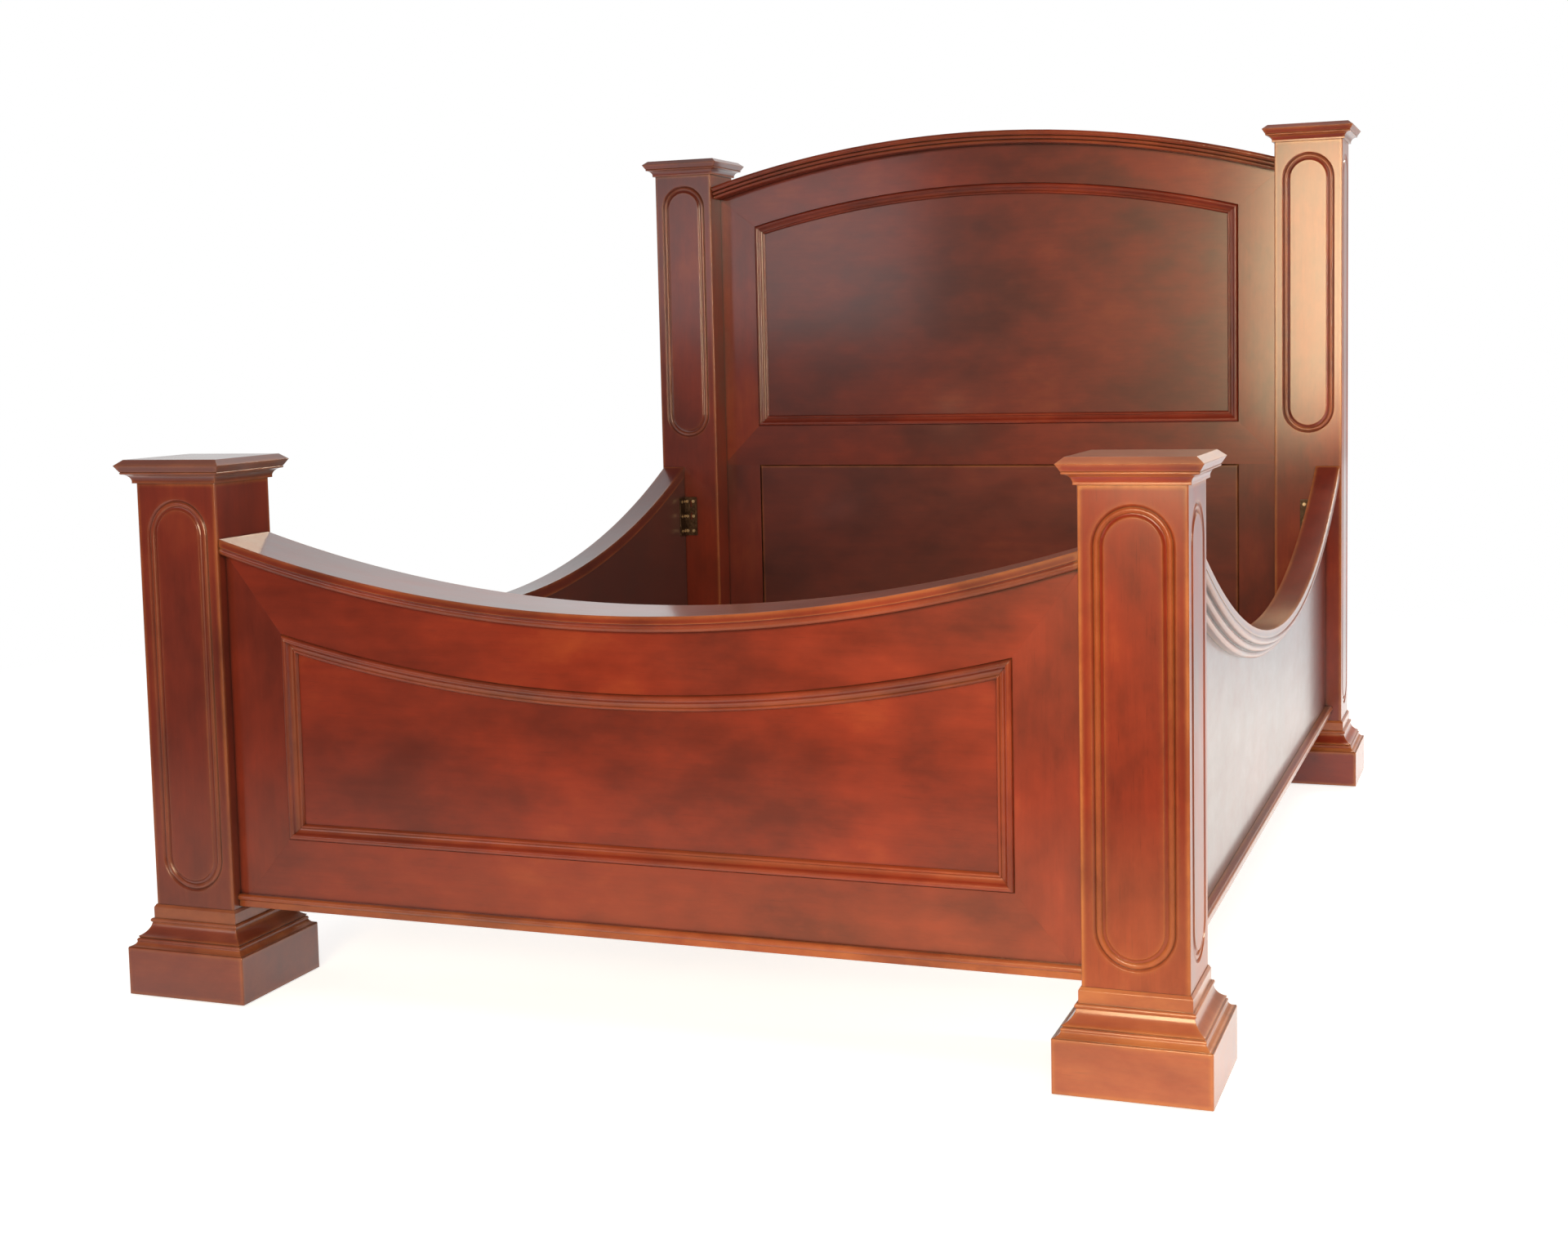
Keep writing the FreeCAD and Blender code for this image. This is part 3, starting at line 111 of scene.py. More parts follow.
# Patterns of the wood and its finish: scale is in blotches a metre, stretch is across over along.
CLOUDS = {"stretch": 0.7, "scale": 4.2, "detail": 3.0}
BLOTS = {"stretch": 0.5, "scale": 15.0, "detail": 5.0, "roughness": 0.62}
STREAKS = {"stretch": 0.06, "scale": 95.0, "detail": 4.0, "roughness": 0.65}
PORES = {"stretch": 0.03, "scale": 620.0, "detail": 2.0}
RIPPLES = {"stretch": 0.5, "scale": 26.0, "detail": 2.0}

# Pairs and fours are ranges for between: from low to high, and what these become. Reaches, places
# and edges are in metres; a bump is its strength and its height.
CLOUD_SHARE = 0.6
STAIN_LOW = 0.21
STAIN_HIGH = 0.79
PAINTED_SHADE_LEFT = (0.5, -0.9, 0.0, 0.55)
STREAK_SHADE = (0.3, 0.7, 0.91, 1.05)
PORE_EDGE = (0.64, 0.74)
PORE_SHARE = 0.25
NEAR_FLOOR = (0.42, 0.1)
FACING_UP = (0.5, 0.95)
BED_ACROSS = (-0.9, 0.9)
PAINTED_SHEEN_LEFT = 0.15
PAINTED_SHEEN_PATCHES = (0.3, 0.7, 0.7, 1.2)
GLAZE_AND_SHADE_REACH = 0.01
GLAZE_AND_SHADE_DEPTH = (0.82, 0.4, 0.0, 0.85)
RUB_AND_HIGHLIGHT_REACH = 0.009
RUB_AND_HIGHLIGHT_EDGE = (0.94, 0.66)
RUB_AND_HIGHLIGHT_PATCHES = (0.35, 0.6)
RUB_AND_HIGHLIGHT_LEAST = 0.4
PAINTED_LIGHT_ACROSS = (-0.9, 0.8, 0.35, 1.0)
SHEEN_PATCHES = (0.3, 0.7, 0.29, 0.38)
EASED_EDGE = 0.0016
GRAIN_BUMP = (0.14, 0.0004)
FLOW_BUMP = (0.12, 0.0003)
SHINE = 0.35
LACQUER = 0.8
LACQUER_ROUGHNESS = 0.14
LACQUER_IOR = 1.5
CORNER_RAYS = 8
EDGE_RAYS = 6


def raised(tree, bump, height, normal):
    """The normal tilted by height, with bump's strength and height."""
    strength, distance = bump
    node = add(tree, "Bump", {"Strength": strength, "Distance": distance,
                              "Height": height, "Normal": normal})
    return node.outputs[0]


def stained_wood(name, grain, seed, warmth=0.0, wear_and_highlight=0.6, ease=EASED_EDGE,
                 dull=0.0, pale=0.0, gloss=1.0):
    """Stained hardwood under lacquer: two sizes of cloud pick the stain's colour, long streaks and
    pores shade it, glaze and painted shade darken what is shut in, and edges turn a light orange,
    partly rubbed wear and partly painted highlight, more so to the right. The colour is painted
    darker to the left as painted shade; dull greys it as painted shade, pale lightens what stands
    near the floor or faces up as a painted sheen, and gloss under 1 is a thinner coat of lacquer."""
    material, tree, shader, point = new_finish(name)
    place = add(tree, "SeparateXYZ", {0: point}).outputs

    clouds = grain_noise(tree, point, grain, seed, **CLOUDS)
    blots = grain_noise(tree, point, grain, seed, **BLOTS)
    small = number(tree, "MULTIPLY", blots, 1.0 - CLOUD_SHARE)
    both = number(tree, "MULTIPLY_ADD", clouds, CLOUD_SHARE, small)
    spread = between(tree, both, STAIN_LOW - warmth, STAIN_HIGH - warmth)
    colour = colour_ramp(tree, spread, STAIN_STEPS)
    # Painted shade: the colour is drawn toward the deep stain to the left, where less light falls.
    colour = mixed(tree, between(tree, place["X"], *PAINTED_SHADE_LEFT), colour, STAIN_DEEP)
    streaks = grain_noise(tree, point, grain, seed, **STREAKS)
    colour = shaded(tree, colour, between(tree, streaks, *STREAK_SHADE))
    pore = between(tree, grain_noise(tree, point, grain, seed, **PORES), *PORE_EDGE)
    colour = mixed(tree, number(tree, "MULTIPLY", pore, PORE_SHARE), colour, STAIN_GLAZE_AND_SHADE)

    # Painted shade: dull mixes a shadowy grey into pieces that stand in shade, inside the bed and
    # at the left.
    if dull:
        colour = mixed(tree, dull, colour, PAINTED_SHADE_GREY)
    # Painted sheen: pale lightens faces near the floor and faces turned up, more to the right, as a
    # painted reflection of the lit floor and room.
    if pale:
        facing = add(tree, "SeparateXYZ", {0: add(tree, "NewGeometry").outputs["Normal"]}).outputs
        sheen_mask = number(tree, "MAXIMUM", between(tree, place["Z"], *NEAR_FLOOR),
                         between(tree, facing["Z"], *FACING_UP))
        to_right = between(tree, place["X"], *BED_ACROSS, PAINTED_SHEEN_LEFT * pale, pale)
        sheen_mask = number(tree, "MULTIPLY", sheen_mask, to_right)
        sheen_mask = number(tree, "MULTIPLY", sheen_mask, between(tree, blots, *PAINTED_SHEEN_PATCHES))
        colour = mixed(tree, sheen_mask, colour, PAINTED_SHEEN_TINT)

    # Glaze and painted shade: the colour darkens wherever another surface lies within reach, in
    # grooves, corners and between parts.
    shut_in = add(tree, "AmbientOcclusion", {"Distance": GLAZE_AND_SHADE_REACH}, samples=CORNER_RAYS)
    colour = mixed(tree, between(tree, shut_in.outputs["AO"], *GLAZE_AND_SHADE_DEPTH), colour, STAIN_GLAZE_AND_SHADE)
    # Rubbed edges and painted highlight: convex edges turn light orange, more to the right, where
    # more light falls.
    if wear_and_highlight:
        inside = add(tree, "AmbientOcclusion", {"Distance": RUB_AND_HIGHLIGHT_REACH}, samples=CORNER_RAYS,
                     inside=True)
        edge = between(tree, inside.outputs["AO"], *RUB_AND_HIGHLIGHT_EDGE)
        patches = between(tree, blots, *RUB_AND_HIGHLIGHT_PATCHES, RUB_AND_HIGHLIGHT_LEAST * wear_and_highlight, wear_and_highlight)
        worn_and_highlit = number(tree, "MULTIPLY", edge, patches)
        worn_and_highlit = number(tree, "MULTIPLY", worn_and_highlit, between(tree, place["X"], *PAINTED_LIGHT_ACROSS))
        colour = mixed(tree, worn_and_highlit, colour, STAIN_RUBBED_AND_HIGHLIT)
    tree.links.new(colour, shader.inputs["Base Color"])

    tree.links.new(between(tree, blots, *SHEEN_PATCHES), shader.inputs["Roughness"])
    rounded = add(tree, "Bevel", {"Radius": ease}, samples=EDGE_RAYS).outputs[0]
    height = number(tree, "MULTIPLY_ADD", pore, -0.6, number(tree, "MULTIPLY", streaks, 0.5))
    tree.links.new(raised(tree, GRAIN_BUMP, height, rounded), shader.inputs["Normal"])
    ripple = grain_noise(tree, point, grain, seed, **RIPPLES)
    tree.links.new(raised(tree, FLOW_BUMP, ripple, rounded), shader.inputs["Coat Normal"])
    shader.inputs["Specular IOR Level"].default_value = SHINE * gloss
    shader.inputs["Coat Weight"].default_value = LACQUER * gloss
    shader.inputs["Coat Roughness"].default_value = LACQUER_ROUGHNESS
    shader.inputs["Coat IOR"].default_value = LACQUER_IOR
    return material


def finish(node, material):
    """Gives a piece of the frame its material."""
    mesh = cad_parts[node].data
    mesh.materials.clear()
    mesh.materials.append(material)


CORNERS = ("front_left", "front_right", "rear_left", "rear_right")
# Painted sheen on the two posts at the foot, painted shade on the front left one.
POST_PAINTED_SHEEN = {"front_left": 0.3, "front_right": 0.3}
POST_PAINTED_SHADE = {"front_left": 0.12}
POST_GLOSS = {"front_right": 0.6}

for turn, corner in enumerate(CORNERS):
    wood = stained_wood("post_stain_" + corner, "Z", (3.1 * turn, 1.7 * turn, 0.9 * turn), wear_and_highlight=0.8,
                        dull=POST_PAINTED_SHADE.get(corner, 0.0), pale=POST_PAINTED_SHEEN.get(corner, 0.0),
                        gloss=POST_GLOSS.get(corner, 1.0))
    finish("post_" + corner, wood)


# Plinths and base mouldings. A block of hardwood stands under each post, with mitred lengths of
# moulding running round the foot of the shaft; a felt-faced glide keeps each block off the floor.

# Painted sheen on the two plinths at the foot, painted shade on the front left one.
PLINTH_PAINTED_SHEEN = {"front_left": 0.36, "front_right": 0.36}
PLINTH_PAINTED_SHADE = {"front_left": 0.2}

for turn, corner in enumerate(CORNERS):
    wood = stained_wood("plinth_stain_" + corner, "X", (2.3 + 1.9 * turn, 4.4, 1.3 * turn),
                        warmth=0.06, dull=PLINTH_PAINTED_SHADE.get(corner, 0.0),
                        pale=PLINTH_PAINTED_SHEEN.get(corner, 0.0))
    finish("plinth_" + corner, wood)
    finish("base_moulding_" + corner, wood)

FELT_DARK = screen(34, 31, 30)
FELT_LIGHT = screen(84, 78, 74)
FELT_FIBRES = {"stretch": 0.4, "scale": 900.0, "detail": 5.0, "distortion": 1.2}
FELT_TUFTS = {"stretch": 0.8, "scale": 70.0}


def glide_pad():
    """Pressed felt: two sizes of short fibre noise vary a dark grey and lift it."""
    material, tree, shader, point = new_finish("glide_felt")
    fibres = grain_noise(tree, point, "X", (0.0, 0.0, 0.0), **FELT_FIBRES)
    tufts = grain_noise(tree, point, "Y", (5.0, 2.0, 0.0), **FELT_TUFTS)
    tone = number(tree, "MULTIPLY_ADD", fibres, 0.7, number(tree, "MULTIPLY", tufts, 0.3))
    colour = colour_ramp(tree, tone, [(0.3, FELT_DARK), (0.7, FELT_LIGHT)])
    tree.links.new(colour, shader.inputs["Base Color"])
    bump = add(tree, "Bump", {"Strength": 0.7, "Distance": 0.0006, "Height": fibres})
    tree.links.new(bump.outputs[0], shader.inputs["Normal"])
    shader.inputs["Roughness"].default_value = 0.95
    shader.inputs["Sheen Weight"].default_value = 0.3
    return material


finish("plinth_glides", glide_pad())


# Caps. A cove and bead moulding is mitred round the head of each post and carries a bevelled board
# of the same hardwood; a painted sheen lightens the tops, most on the two at the foot, and painted
# shade greys the front left one.

CAP_PAINTED_SHEEN = {"front_left": 0.7, "front_right": 0.7, "rear_left": 0.2, "rear_right": 0.2}
CAP_PAINTED_SHADE = {"front_left": 0.35}

for turn, corner in enumerate(CORNERS):
    wood = stained_wood("cap_stain_" + corner, "X", (7.7 + 2.1 * turn, 0.6, 3.3 * turn), wear_and_highlight=0.5,
                        dull=CAP_PAINTED_SHADE.get(corner, 0.0), pale=CAP_PAINTED_SHEEN[corner])
    finish("cap_moulding_" + corner, wood)
    finish("cap_board_" + corner, wood)


# Footboard. A hardwood frame of two stiles and two rails holds one flat panel behind mitred
# mouldings. A deep scooped cap lies over it, a small bead runs along its foot, and a board closes
# its back.

CRISP_EDGE = 0.0005


def framing(name, grain, seed, warmth=0.0, dull=0.0, pale=0.0):
    """The stain on flush joined framing, whose joints stay crisp, with no rubbed edges and no
    painted edge highlight.
    """
    return stained_wood(name, grain, seed, warmth=warmth, wear_and_highlight=0.0, ease=CRISP_EDGE,
                        dull=dull, pale=pale)


# pale below is a painted sheen near the floor and on faces turned up; dull on the back board is
# painted shade.
finish("footboard_top_rail", framing("foot_top_rail_stain", "X", (1.2, 0.0, 5.1), warmth=0.02))
finish("footboard_bottom_rail", framing("foot_bottom_rail_stain", "X", (4.9, 2.0, 0.0), pale=0.2))
finish("footboard_left_stile", framing("foot_left_stile_stain", "Z", (0.0, 3.0, 2.2), pale=0.2))
finish("footboard_right_stile", framing("foot_right_stile_stain", "Z", (6.0, 1.0, 0.7), pale=0.2))
finish("footboard_panel", framing("foot_panel_stain", "X", (2.0, 6.0, 8.3), pale=0.1))
for side in ("left", "right"):
    strip = stained_wood("foot_%s_strip_stain" % side, "Z", (9.0, 2.0, 1.0), wear_and_highlight=0.2)
    finish("footboard_%s_moulding" % side, strip)
for side in ("top", "bottom"):
    strip = stained_wood("foot_%s_strip_stain" % side, "X", (3.0, 8.0, 1.0), wear_and_highlight=0.2)
    finish("footboard_%s_moulding" % side, strip)
bead = stained_wood("foot_bead_stain", "X", (5.5, 5.0, 2.0), warmth=0.04)
finish("footboard_bottom_bead", bead)
scooped = stained_wood("foot_cap_stain", "X", (8.1, 4.0, 6.0), wear_and_highlight=0.5, pale=0.25)
finish("footboard_cap_rail", scooped)
finish("footboard_back_board", framing("foot_back_stain", "X", (1.5, 9.0, 3.7), dull=0.5))


# Headboard. Above, an arched panel sits in a mitred and moulded frame under a crown with three
# reeds; below the middle rail a plain bevelled panel fills the frame down to the bottom rail.

# dull below is painted shade, deepest low down inside the bed.
finish("headboard_top_rail", framing("head_top_rail_stain", "X", (2.2, 3.0, 9.1), dull=0.1))
finish("headboard_middle_rail", framing("head_middle_rail_stain", "X", (6.9, 1.0, 3.0), dull=0.2))
finish("headboard_bottom_rail", framing("head_bottom_rail_stain", "X", (3.9, 7.0, 1.0), dull=0.4))
finish("headboard_left_stile", framing("head_left_stile_stain", "Z", (0.5, 5.0, 4.2), warmth=0.1))
finish("headboard_right_stile", framing("head_right_stile_stain", "Z", (7.0, 3.0, 1.7)))
for side, seed in (("left", (1.5, 6.5, 4.2)), ("right", (8.0, 2.0, 0.7))):
    lower = framing("head_lower_%s_stain" % side, "Z", seed, dull=0.3)
    finish("headboard_lower_%s_stile" % side, lower)
finish("headboard_panel", framing("head_panel_stain", "X", (4.0, 2.0, 7.3), dull=0.32))
bevelled = stained_wood("head_lower_panel_stain", "X", (0.8, 7.5, 2.9), wear_and_highlight=1.0, dull=0.45)
finish("headboard_lower_panel", bevelled)
for side in ("left", "right"):
    strip = stained_wood("head_%s_strip_stain" % side, "Z", (2.0, 9.0, 4.0), wear_and_highlight=0.1)
    finish("headboard_%s_moulding" % side, strip)
for side in ("top", "bottom"):
    strip = stained_wood("head_%s_strip_stain" % side, "X", (6.0, 4.0, 8.0), wear_and_highlight=0.05)
    finish("headboard_%s_moulding" % side, strip)
finish("headboard_crown", stained_wood("crown_stain", "X", (9.3, 1.0, 2.0), wear_and_highlight=0.3))


# Side rails. Each is a scooped hardwood board under a moulded cap, with a low moulding along its
# foot. They hook onto the posts by the brackets further down, and carry the slats' ledgers inside.

# dull below is painted shade: the rail boards and caps stand in shadow inside the bed.
for turn, side in enumerate(("left", "right")):
    board = framing("rail_stain_" + side, "Y", (3.7 * turn, 2.0, 6.0), dull=0.72)
    cap = stained_wood("rail_cap_stain_" + side, "Y", (1.0, 4.1 * turn, 3.0), dull=0.4)
    foot = stained_wood("rail_foot_stain_" + side, "Y", (5.0, 1.0, 2.5 * turn))
    finish("rail_" + side, board)
    finish("rail_cap_" + side, cap)
    finish("rail_base_moulding_" + side, foot)


# Ledgers, beam, legs and slats. Unstained softwood, planed and left bare: ledgers are fixed inside
# the rails, a beam on three legs runs down the middle, and thirteen slats lie loose across them.

PINE_PALE = screen(226, 196, 150)
PINE_LATE = screen(190, 141, 88)
PINE_TAN = screen(204, 160, 112)
PINE_KNOT = screen(116, 70, 40)
RING_STRETCH = 0.07
RING_COUNT = 95.0
KNOT_STRETCH = 0.45
KNOT_EDGE = (0.075, 0.035)
PINE_EASE = 0.002
PINE_BUMP = (0.5, 0.0005)
PINE_BROAD = {"stretch": 0.4, "scale": 2.2}
PINE_FIBRES = {"stretch": 0.03, "scale": 420.0, "detail": 3.0}


def drawn_out(tree, point, grain, seed, stretch):
    """The place in the piece with its measure along the grain shortened to stretch."""
    size = [stretch if axis == grain else 1.0 for axis in "XYZ"]
    return add(tree, "Mapping", {"Vector": point, "Location": seed, "Scale": size}).outputs[0]


def planed_softwood(name, grain, seed):
    """Bare pine: rings sliced lengthwise, given by a wave bent by noise, turn pale wood to tan late
    wood; knots are rare dark spots, and fibres give a dull, slightly furry surface."""
    material, tree, shader, point = new_finish(name)
    lengthwise = drawn_out(tree, point, grain, seed, RING_STRETCH)
    rings = add(tree, "TexNoise", {"Vector": lengthwise, "Scale": 9.0, "Detail": 1.5}).outputs[0]
    wave = number(tree, "SINE", number(tree, "MULTIPLY", rings, RING_COUNT))
    late = between(tree, wave, -0.2, 1.0)
    colour = mixed(tree, number(tree, "MULTIPLY", late, 0.7), PINE_PALE, PINE_LATE)
    broad = grain_noise(tree, point, grain, seed, **PINE_BROAD)
    colour = mixed(tree, between(tree, broad, 0.35, 0.7, 0.0, 0.35), colour, PINE_TAN)
    long_cells = drawn_out(tree, point, grain, seed, KNOT_STRETCH)
    knots = add(tree, "TexVoronoi", {"Vector": long_cells, "Scale": 5.0}).outputs[0]
    knot = between(tree, knots, *KNOT_EDGE)
    colour = mixed(tree, number(tree, "MULTIPLY", knot, 0.8), colour, PINE_KNOT)
    fibres = grain_noise(tree, point, grain, seed, **PINE_FIBRES)
    colour = shaded(tree, colour, between(tree, fibres, 0.3, 0.7, 0.9, 1.04))
    tree.links.new(colour, shader.inputs["Base Color"])
    rounded = add(tree, "Bevel", {"Radius": PINE_EASE}, samples=EDGE_RAYS).outputs[0]
    height = number(tree, "MULTIPLY_ADD", late, -0.35, fibres)
    tree.links.new(raised(tree, PINE_BUMP, height, rounded), shader.inputs["Normal"])
    tree.links.new(between(tree, fibres, 0.3, 0.7, 0.62, 0.8), shader.inputs["Roughness"])
    return material


lengthwise_pine = planed_softwood("softwood_lengthwise", "Y", (0.0, 3.0, 1.0))
for piece in ("ledger_left", "ledger_right", "centre_beam"):
    finish(piece, lengthwise_pine)
finish("centre_legs", planed_softwood("softwood_upright", "Z", (4.0, 1.0, 2.0)))
finish("slats", planed_softwood("softwood_crosswise", "X", (1.0, 6.0, 3.0)))


# Brackets and screws. Pressed steel angles, zinc plated and browned with age, join the rails to the
# posts; the screws that hold them are bright zinc.

BRACKET_LIGHT = screen(104, 84, 70)
BRACKET_DARK = screen(48, 37, 32)
SCREW_LIGHT = screen(226, 208, 180)
SCREW_DARK = screen(160, 138, 108)
PLATE_CLOUD = {"stretch": 0.7, "scale": 55.0, "detail": 4.0}
PLATE_LINES = {"stretch": 0.02, "scale": 1500.0, "detail": 2.0}
PLATE_CELLS = 240.0
PRESSED_EDGE = 0.0005
PLATE_BUMP = (0.25, 0.0001)


def plated_steel(name, light, dark, seed):
    """Zinc plating: cells of slightly different grey, clouded by wear, with fine rolling lines."""
    material, tree, shader, point = new_finish(name)
    cells = add(tree, "TexVoronoi", {"Vector": point, "Scale": PLATE_CELLS}).outputs["Color"]
    cloud = grain_noise(tree, point, "Z", seed, **PLATE_CLOUD)
    tone = number(tree, "MULTIPLY_ADD", cells, 0.35, number(tree, "MULTIPLY", cloud, 0.65))
    colour = colour_ramp(tree, tone, [(0.25, dark), (0.75, light)])
    tree.links.new(colour, shader.inputs["Base Color"])
    tree.links.new(between(tree, cloud, 0.3, 0.7, 0.28, 0.5), shader.inputs["Roughness"])
    lines = grain_noise(tree, point, "Z", seed, **PLATE_LINES)
    rounded = add(tree, "Bevel", {"Radius": PRESSED_EDGE}, samples=EDGE_RAYS).outputs[0]
    tree.links.new(raised(tree, PLATE_BUMP, lines, rounded), shader.inputs["Normal"])
    shader.inputs["Metallic"].default_value = 1.0
    return material


angles = plated_steel("bronzed_plate", BRACKET_LIGHT, BRACKET_DARK, (1.0, 2.0, 0.0))
finish("rail_brackets", angles)
screws = plated_steel("bright_zinc", SCREW_LIGHT, SCREW_DARK, (3.0, 0.0, 1.0))
finish("bracket_screws", screws)


# Floor. Matt pale paper lies under the bed and keeps its shadow; further out it is plain white.
# The gloss of the wood shows that paper behind the foot of the bed, and dark boards in front of it.

FLOOR_HALF = 14.0
PAPER_LIGHT = (0.86, 0.86, 0.86, 1.0)
PAPER_SHADE = (0.80, 0.80, 0.80, 1.0)
BOARDS_DARK = (0.07, 0.065, 0.06, 1.0)
BOARDS_TO_PAPER = (-3.2, -2.1)
SHOWN_BEHIND = (-1.7, -1.0)
SHADOW_TO_WHITE = (1.9, 4.2)
PAPER_LIFT = 0.74


def floor_paper():
    """Pale paper, lit by the lamps and lifted by an even glow, and pure white away from the bed.
    Only the camera and the gloss behind the foot see that; other rays meet unlifted paper, which
    turns to dark boards in front."""
    material = bpy.data.materials.new("floor_paper")
    material.use_nodes = True
    tree = material.node_tree
    tree.nodes.remove(tree.nodes["Principled BSDF"])
    point = add(tree, "TexCoord").outputs["Object"]
    to_head = add(tree, "SeparateXYZ", {0: point}).outputs["Y"]
    mottle = add(tree, "TexNoise", {"Vector": point, "Scale": 3.0, "Detail": 3.0}).outputs[0]
    paper = mixed(tree, mottle, PAPER_SHADE, PAPER_LIGHT)
    boards = mixed(tree, between(tree, to_head, *BOARDS_TO_PAPER), BOARDS_DARK, paper)
    lit = add(tree, "BsdfDiffuse", {"Color": paper}).outputs[0]
    bare = add(tree, "BsdfDiffuse", {"Color": boards}).outputs[0]
    white = add(tree, "Emission", {"Strength": 1.0}).outputs[0]
    lift = add(tree, "Emission", {"Strength": PAPER_LIFT}).outputs[0]
    lifted = add(tree, "AddShader", {0: lit, 1: lift}).outputs[0]
    away = add(tree, "VectorMath", {0: point}, operation="LENGTH").outputs["Value"]
    outer = between(tree, away, *SHADOW_TO_WHITE)
    seen = add(tree, "MixShader", {0: outer, 1: lifted, 2: white}).outputs[0]
    ray = add(tree, "LightPath").outputs
    behind = number(tree, "MULTIPLY", between(tree, to_head, *SHOWN_BEHIND), ray["Is Glossy Ray"])
    bright = number(tree, "MAXIMUM", ray["Is Camera Ray"], behind)
    shown = add(tree, "MixShader", {0: bright, 1: bare, 2: seen}).outputs[0]
    tree.links.new(shown, tree.nodes["Material Output"].inputs[0])
    return material


floor_corners = [(-FLOOR_HALF, -FLOOR_HALF, 0), (FLOOR_HALF, -FLOOR_HALF, 0),
                 (FLOOR_HALF, FLOOR_HALF, 0), (-FLOOR_HALF, FLOOR_HALF, 0)]
floor_mesh = bpy.data.meshes.new("studio_floor")
floor_mesh.from_pydata(floor_corners, [], [(0, 1, 2, 3)])
floor_mesh.materials.append(floor_paper())
floor = bpy.data.objects.new("studio_floor", floor_mesh)
bpy.context.scene.collection.objects.link(floor)


# Room. The camera sees plain white. The gloss of the wood sees a room that is bright behind the
# bed, dim on the camera's side and brown to the right; soft light comes from behind and above.

ROOM_WHITE = (1.0, 1.0, 1.0, 1.0)
ROOM_BROWN = (0.55, 0.35, 0.26, 1.0)
ROOM_SLANT = 0.5
ROOM_GLOSS = (-0.3, 0.5, 0.08, 0.8)
BROWN_EDGE = (0.09, 0.15)
BROWN_SHARE = 0.9
SOFT_BEHIND = (-0.2, 0.8, 0.1, 0.5)
SOFT_ABOVE = (0.45, 0.95, 0.0, 0.55)


def light_room():
    """The world's light by its direction and by the kind of ray that meets it."""
    world = bpy.data.worlds.new("studio_room")
    bpy.context.scene.world = world
    world.use_nodes = True
    tree = world.node_tree
    toward = add(tree, "SeparateXYZ", {0: add(tree, "TexCoord").outputs["Generated"]}).outputs
    toward_back = number(tree, "MULTIPLY_ADD", toward["X"], ROOM_SLANT, toward["Y"])
    glossy = between(tree, toward_back, *ROOM_GLOSS)
    aside = number(tree, "MULTIPLY", between(tree, toward["X"], *BROWN_EDGE), BROWN_SHARE)
    glossy = mixed(tree, 1.0, glossy, mixed(tree, aside, ROOM_WHITE, ROOM_BROWN), "MULTIPLY")
    soft = number(tree, "MAXIMUM", between(tree, toward["Y"], *SOFT_BEHIND),
                  between(tree, toward["Z"], *SOFT_ABOVE))
    ray = add(tree, "LightPath").outputs
    room = mixed(tree, ray["Is Glossy Ray"], soft, glossy)
    back = tree.nodes["Background"]
    tree.links.new(mixed(tree, ray["Is Camera Ray"], room, ROOM_WHITE), back.inputs["Color"])
    back.inputs["Strength"].default_value = 1.0


light_room()


# Lamps. Six soft boxes stand round the bed. A warm one and a smaller one by the camera give the
# gold lines on the beads, one at the right and one behind the head light the edges, and two fill
# in the left.

WHITE_LIGHT = (1.0, 1.0, 1.0)


def soft_lamp(name, place, aim, wide, tall, power, colour=WHITE_LIGHT):
    """A soft box of wide by tall metres and power watts at place, turned to face aim."""
    light = bpy.data.lights.new(name, "AREA")
    light.shape = "RECTANGLE"
    light.size = wide
    light.size_y = tall
    light.energy = power
    light.color = colour
    lamp = bpy.data.objects.new(name, light)
    lamp.location = place
    lamp.rotation_euler = (Vector(aim) - Vector(place)).to_track_quat("-Z", "Y").to_euler()
    bpy.context.scene.collection.objects.link(lamp)


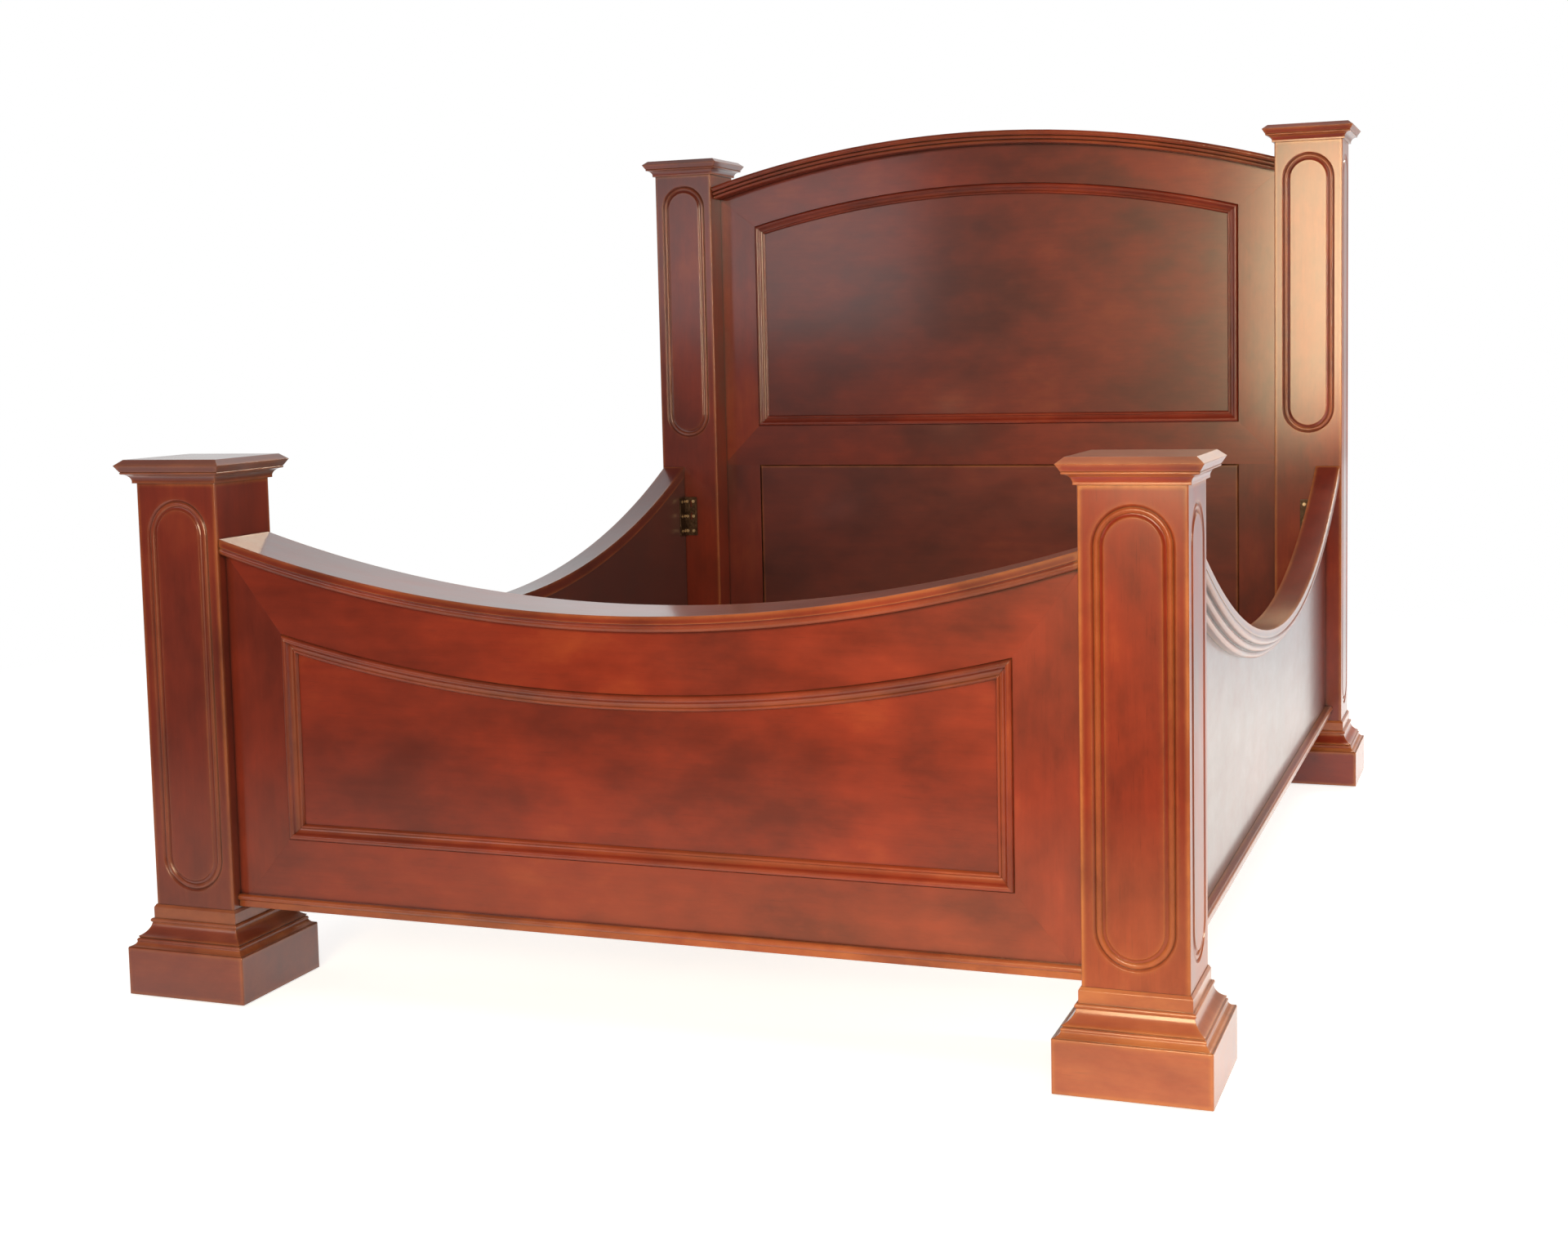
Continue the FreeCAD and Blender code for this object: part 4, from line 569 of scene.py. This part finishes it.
soft_lamp("warm_lamp", (0.48, -5.3, 1.42), (0.4, 1.1, 1.1), 1.15, 1.6, 122.0, (1.0, 0.77, 0.46))
soft_lamp("key_lamp", (1.5, -4.7, 2.0), (0.8, 1.0, 0.4), 1.0, 0.8, 34.0, (1.0, 0.9, 0.76))
soft_lamp("side_lamp", (4.6, -0.7, 1.35), (-0.7, 1.0, 1.2), 0.26, 1.2, 66.0, (1.0, 0.86, 0.64))
soft_lamp("left_lamp", (-4.3, -0.8, 1.3), (0.0, -0.6, 0.9), 3.0, 1.3, 20.0, (1.0, 0.94, 0.86))
soft_lamp("far_left_lamp", (-2.9, -5.1, 1.7), (-0.4, 1.0, 1.1), 1.7, 1.1, 12.0)
soft_lamp("back_lamp", (1.3, 2.9, 2.7), (0.8, -1.2, 0.9), 1.4, 0.6, 45.0, (1.0, 0.85, 0.66))


# Camera. It stands at the foot of the bed, a little to the right and at chest height, looking
# slightly down; its lens, tilt and place were solved from the posts and caps in the picture.

CAMERA_PLACE = (1.3399, -4.0412, 1.0709)
CAMERA_TURN = math.radians(21.2007)
CAMERA_DOWN = math.radians(5.1656)
CAMERA_ROLL = math.radians(-1.3557)
CAMERA_SENSOR = 36.0
CAMERA_LENS = 47.654
CAMERA_SHIFT = (0.0206, -0.0521)

ahead = Vector((-math.sin(CAMERA_TURN) * math.cos(CAMERA_DOWN),
                math.cos(CAMERA_TURN) * math.cos(CAMERA_DOWN), -math.sin(CAMERA_DOWN)))
level = Vector((math.cos(CAMERA_TURN), math.sin(CAMERA_TURN), 0.0))
above = level.cross(ahead)
right = level * math.cos(CAMERA_ROLL) + above * math.sin(CAMERA_ROLL)
upward = above * math.cos(CAMERA_ROLL) - level * math.sin(CAMERA_ROLL)
camera = bpy.data.cameras.new("camera")
camera.sensor_width = CAMERA_SENSOR
camera.lens = CAMERA_LENS
camera.shift_x, camera.shift_y = CAMERA_SHIFT
eye = bpy.data.objects.new("camera", camera)
eye.matrix_world = Matrix((
    (right.x, upward.x, -ahead.x, CAMERA_PLACE[0]),
    (right.y, upward.y, -ahead.y, CAMERA_PLACE[1]),
    (right.z, upward.z, -ahead.z, CAMERA_PLACE[2]),
    (0.0, 0.0, 0.0, 1.0)))
bpy.context.scene.collection.objects.link(eye)
bpy.context.scene.camera = eye
bpy.context.scene.view_settings.view_transform = "Standard"
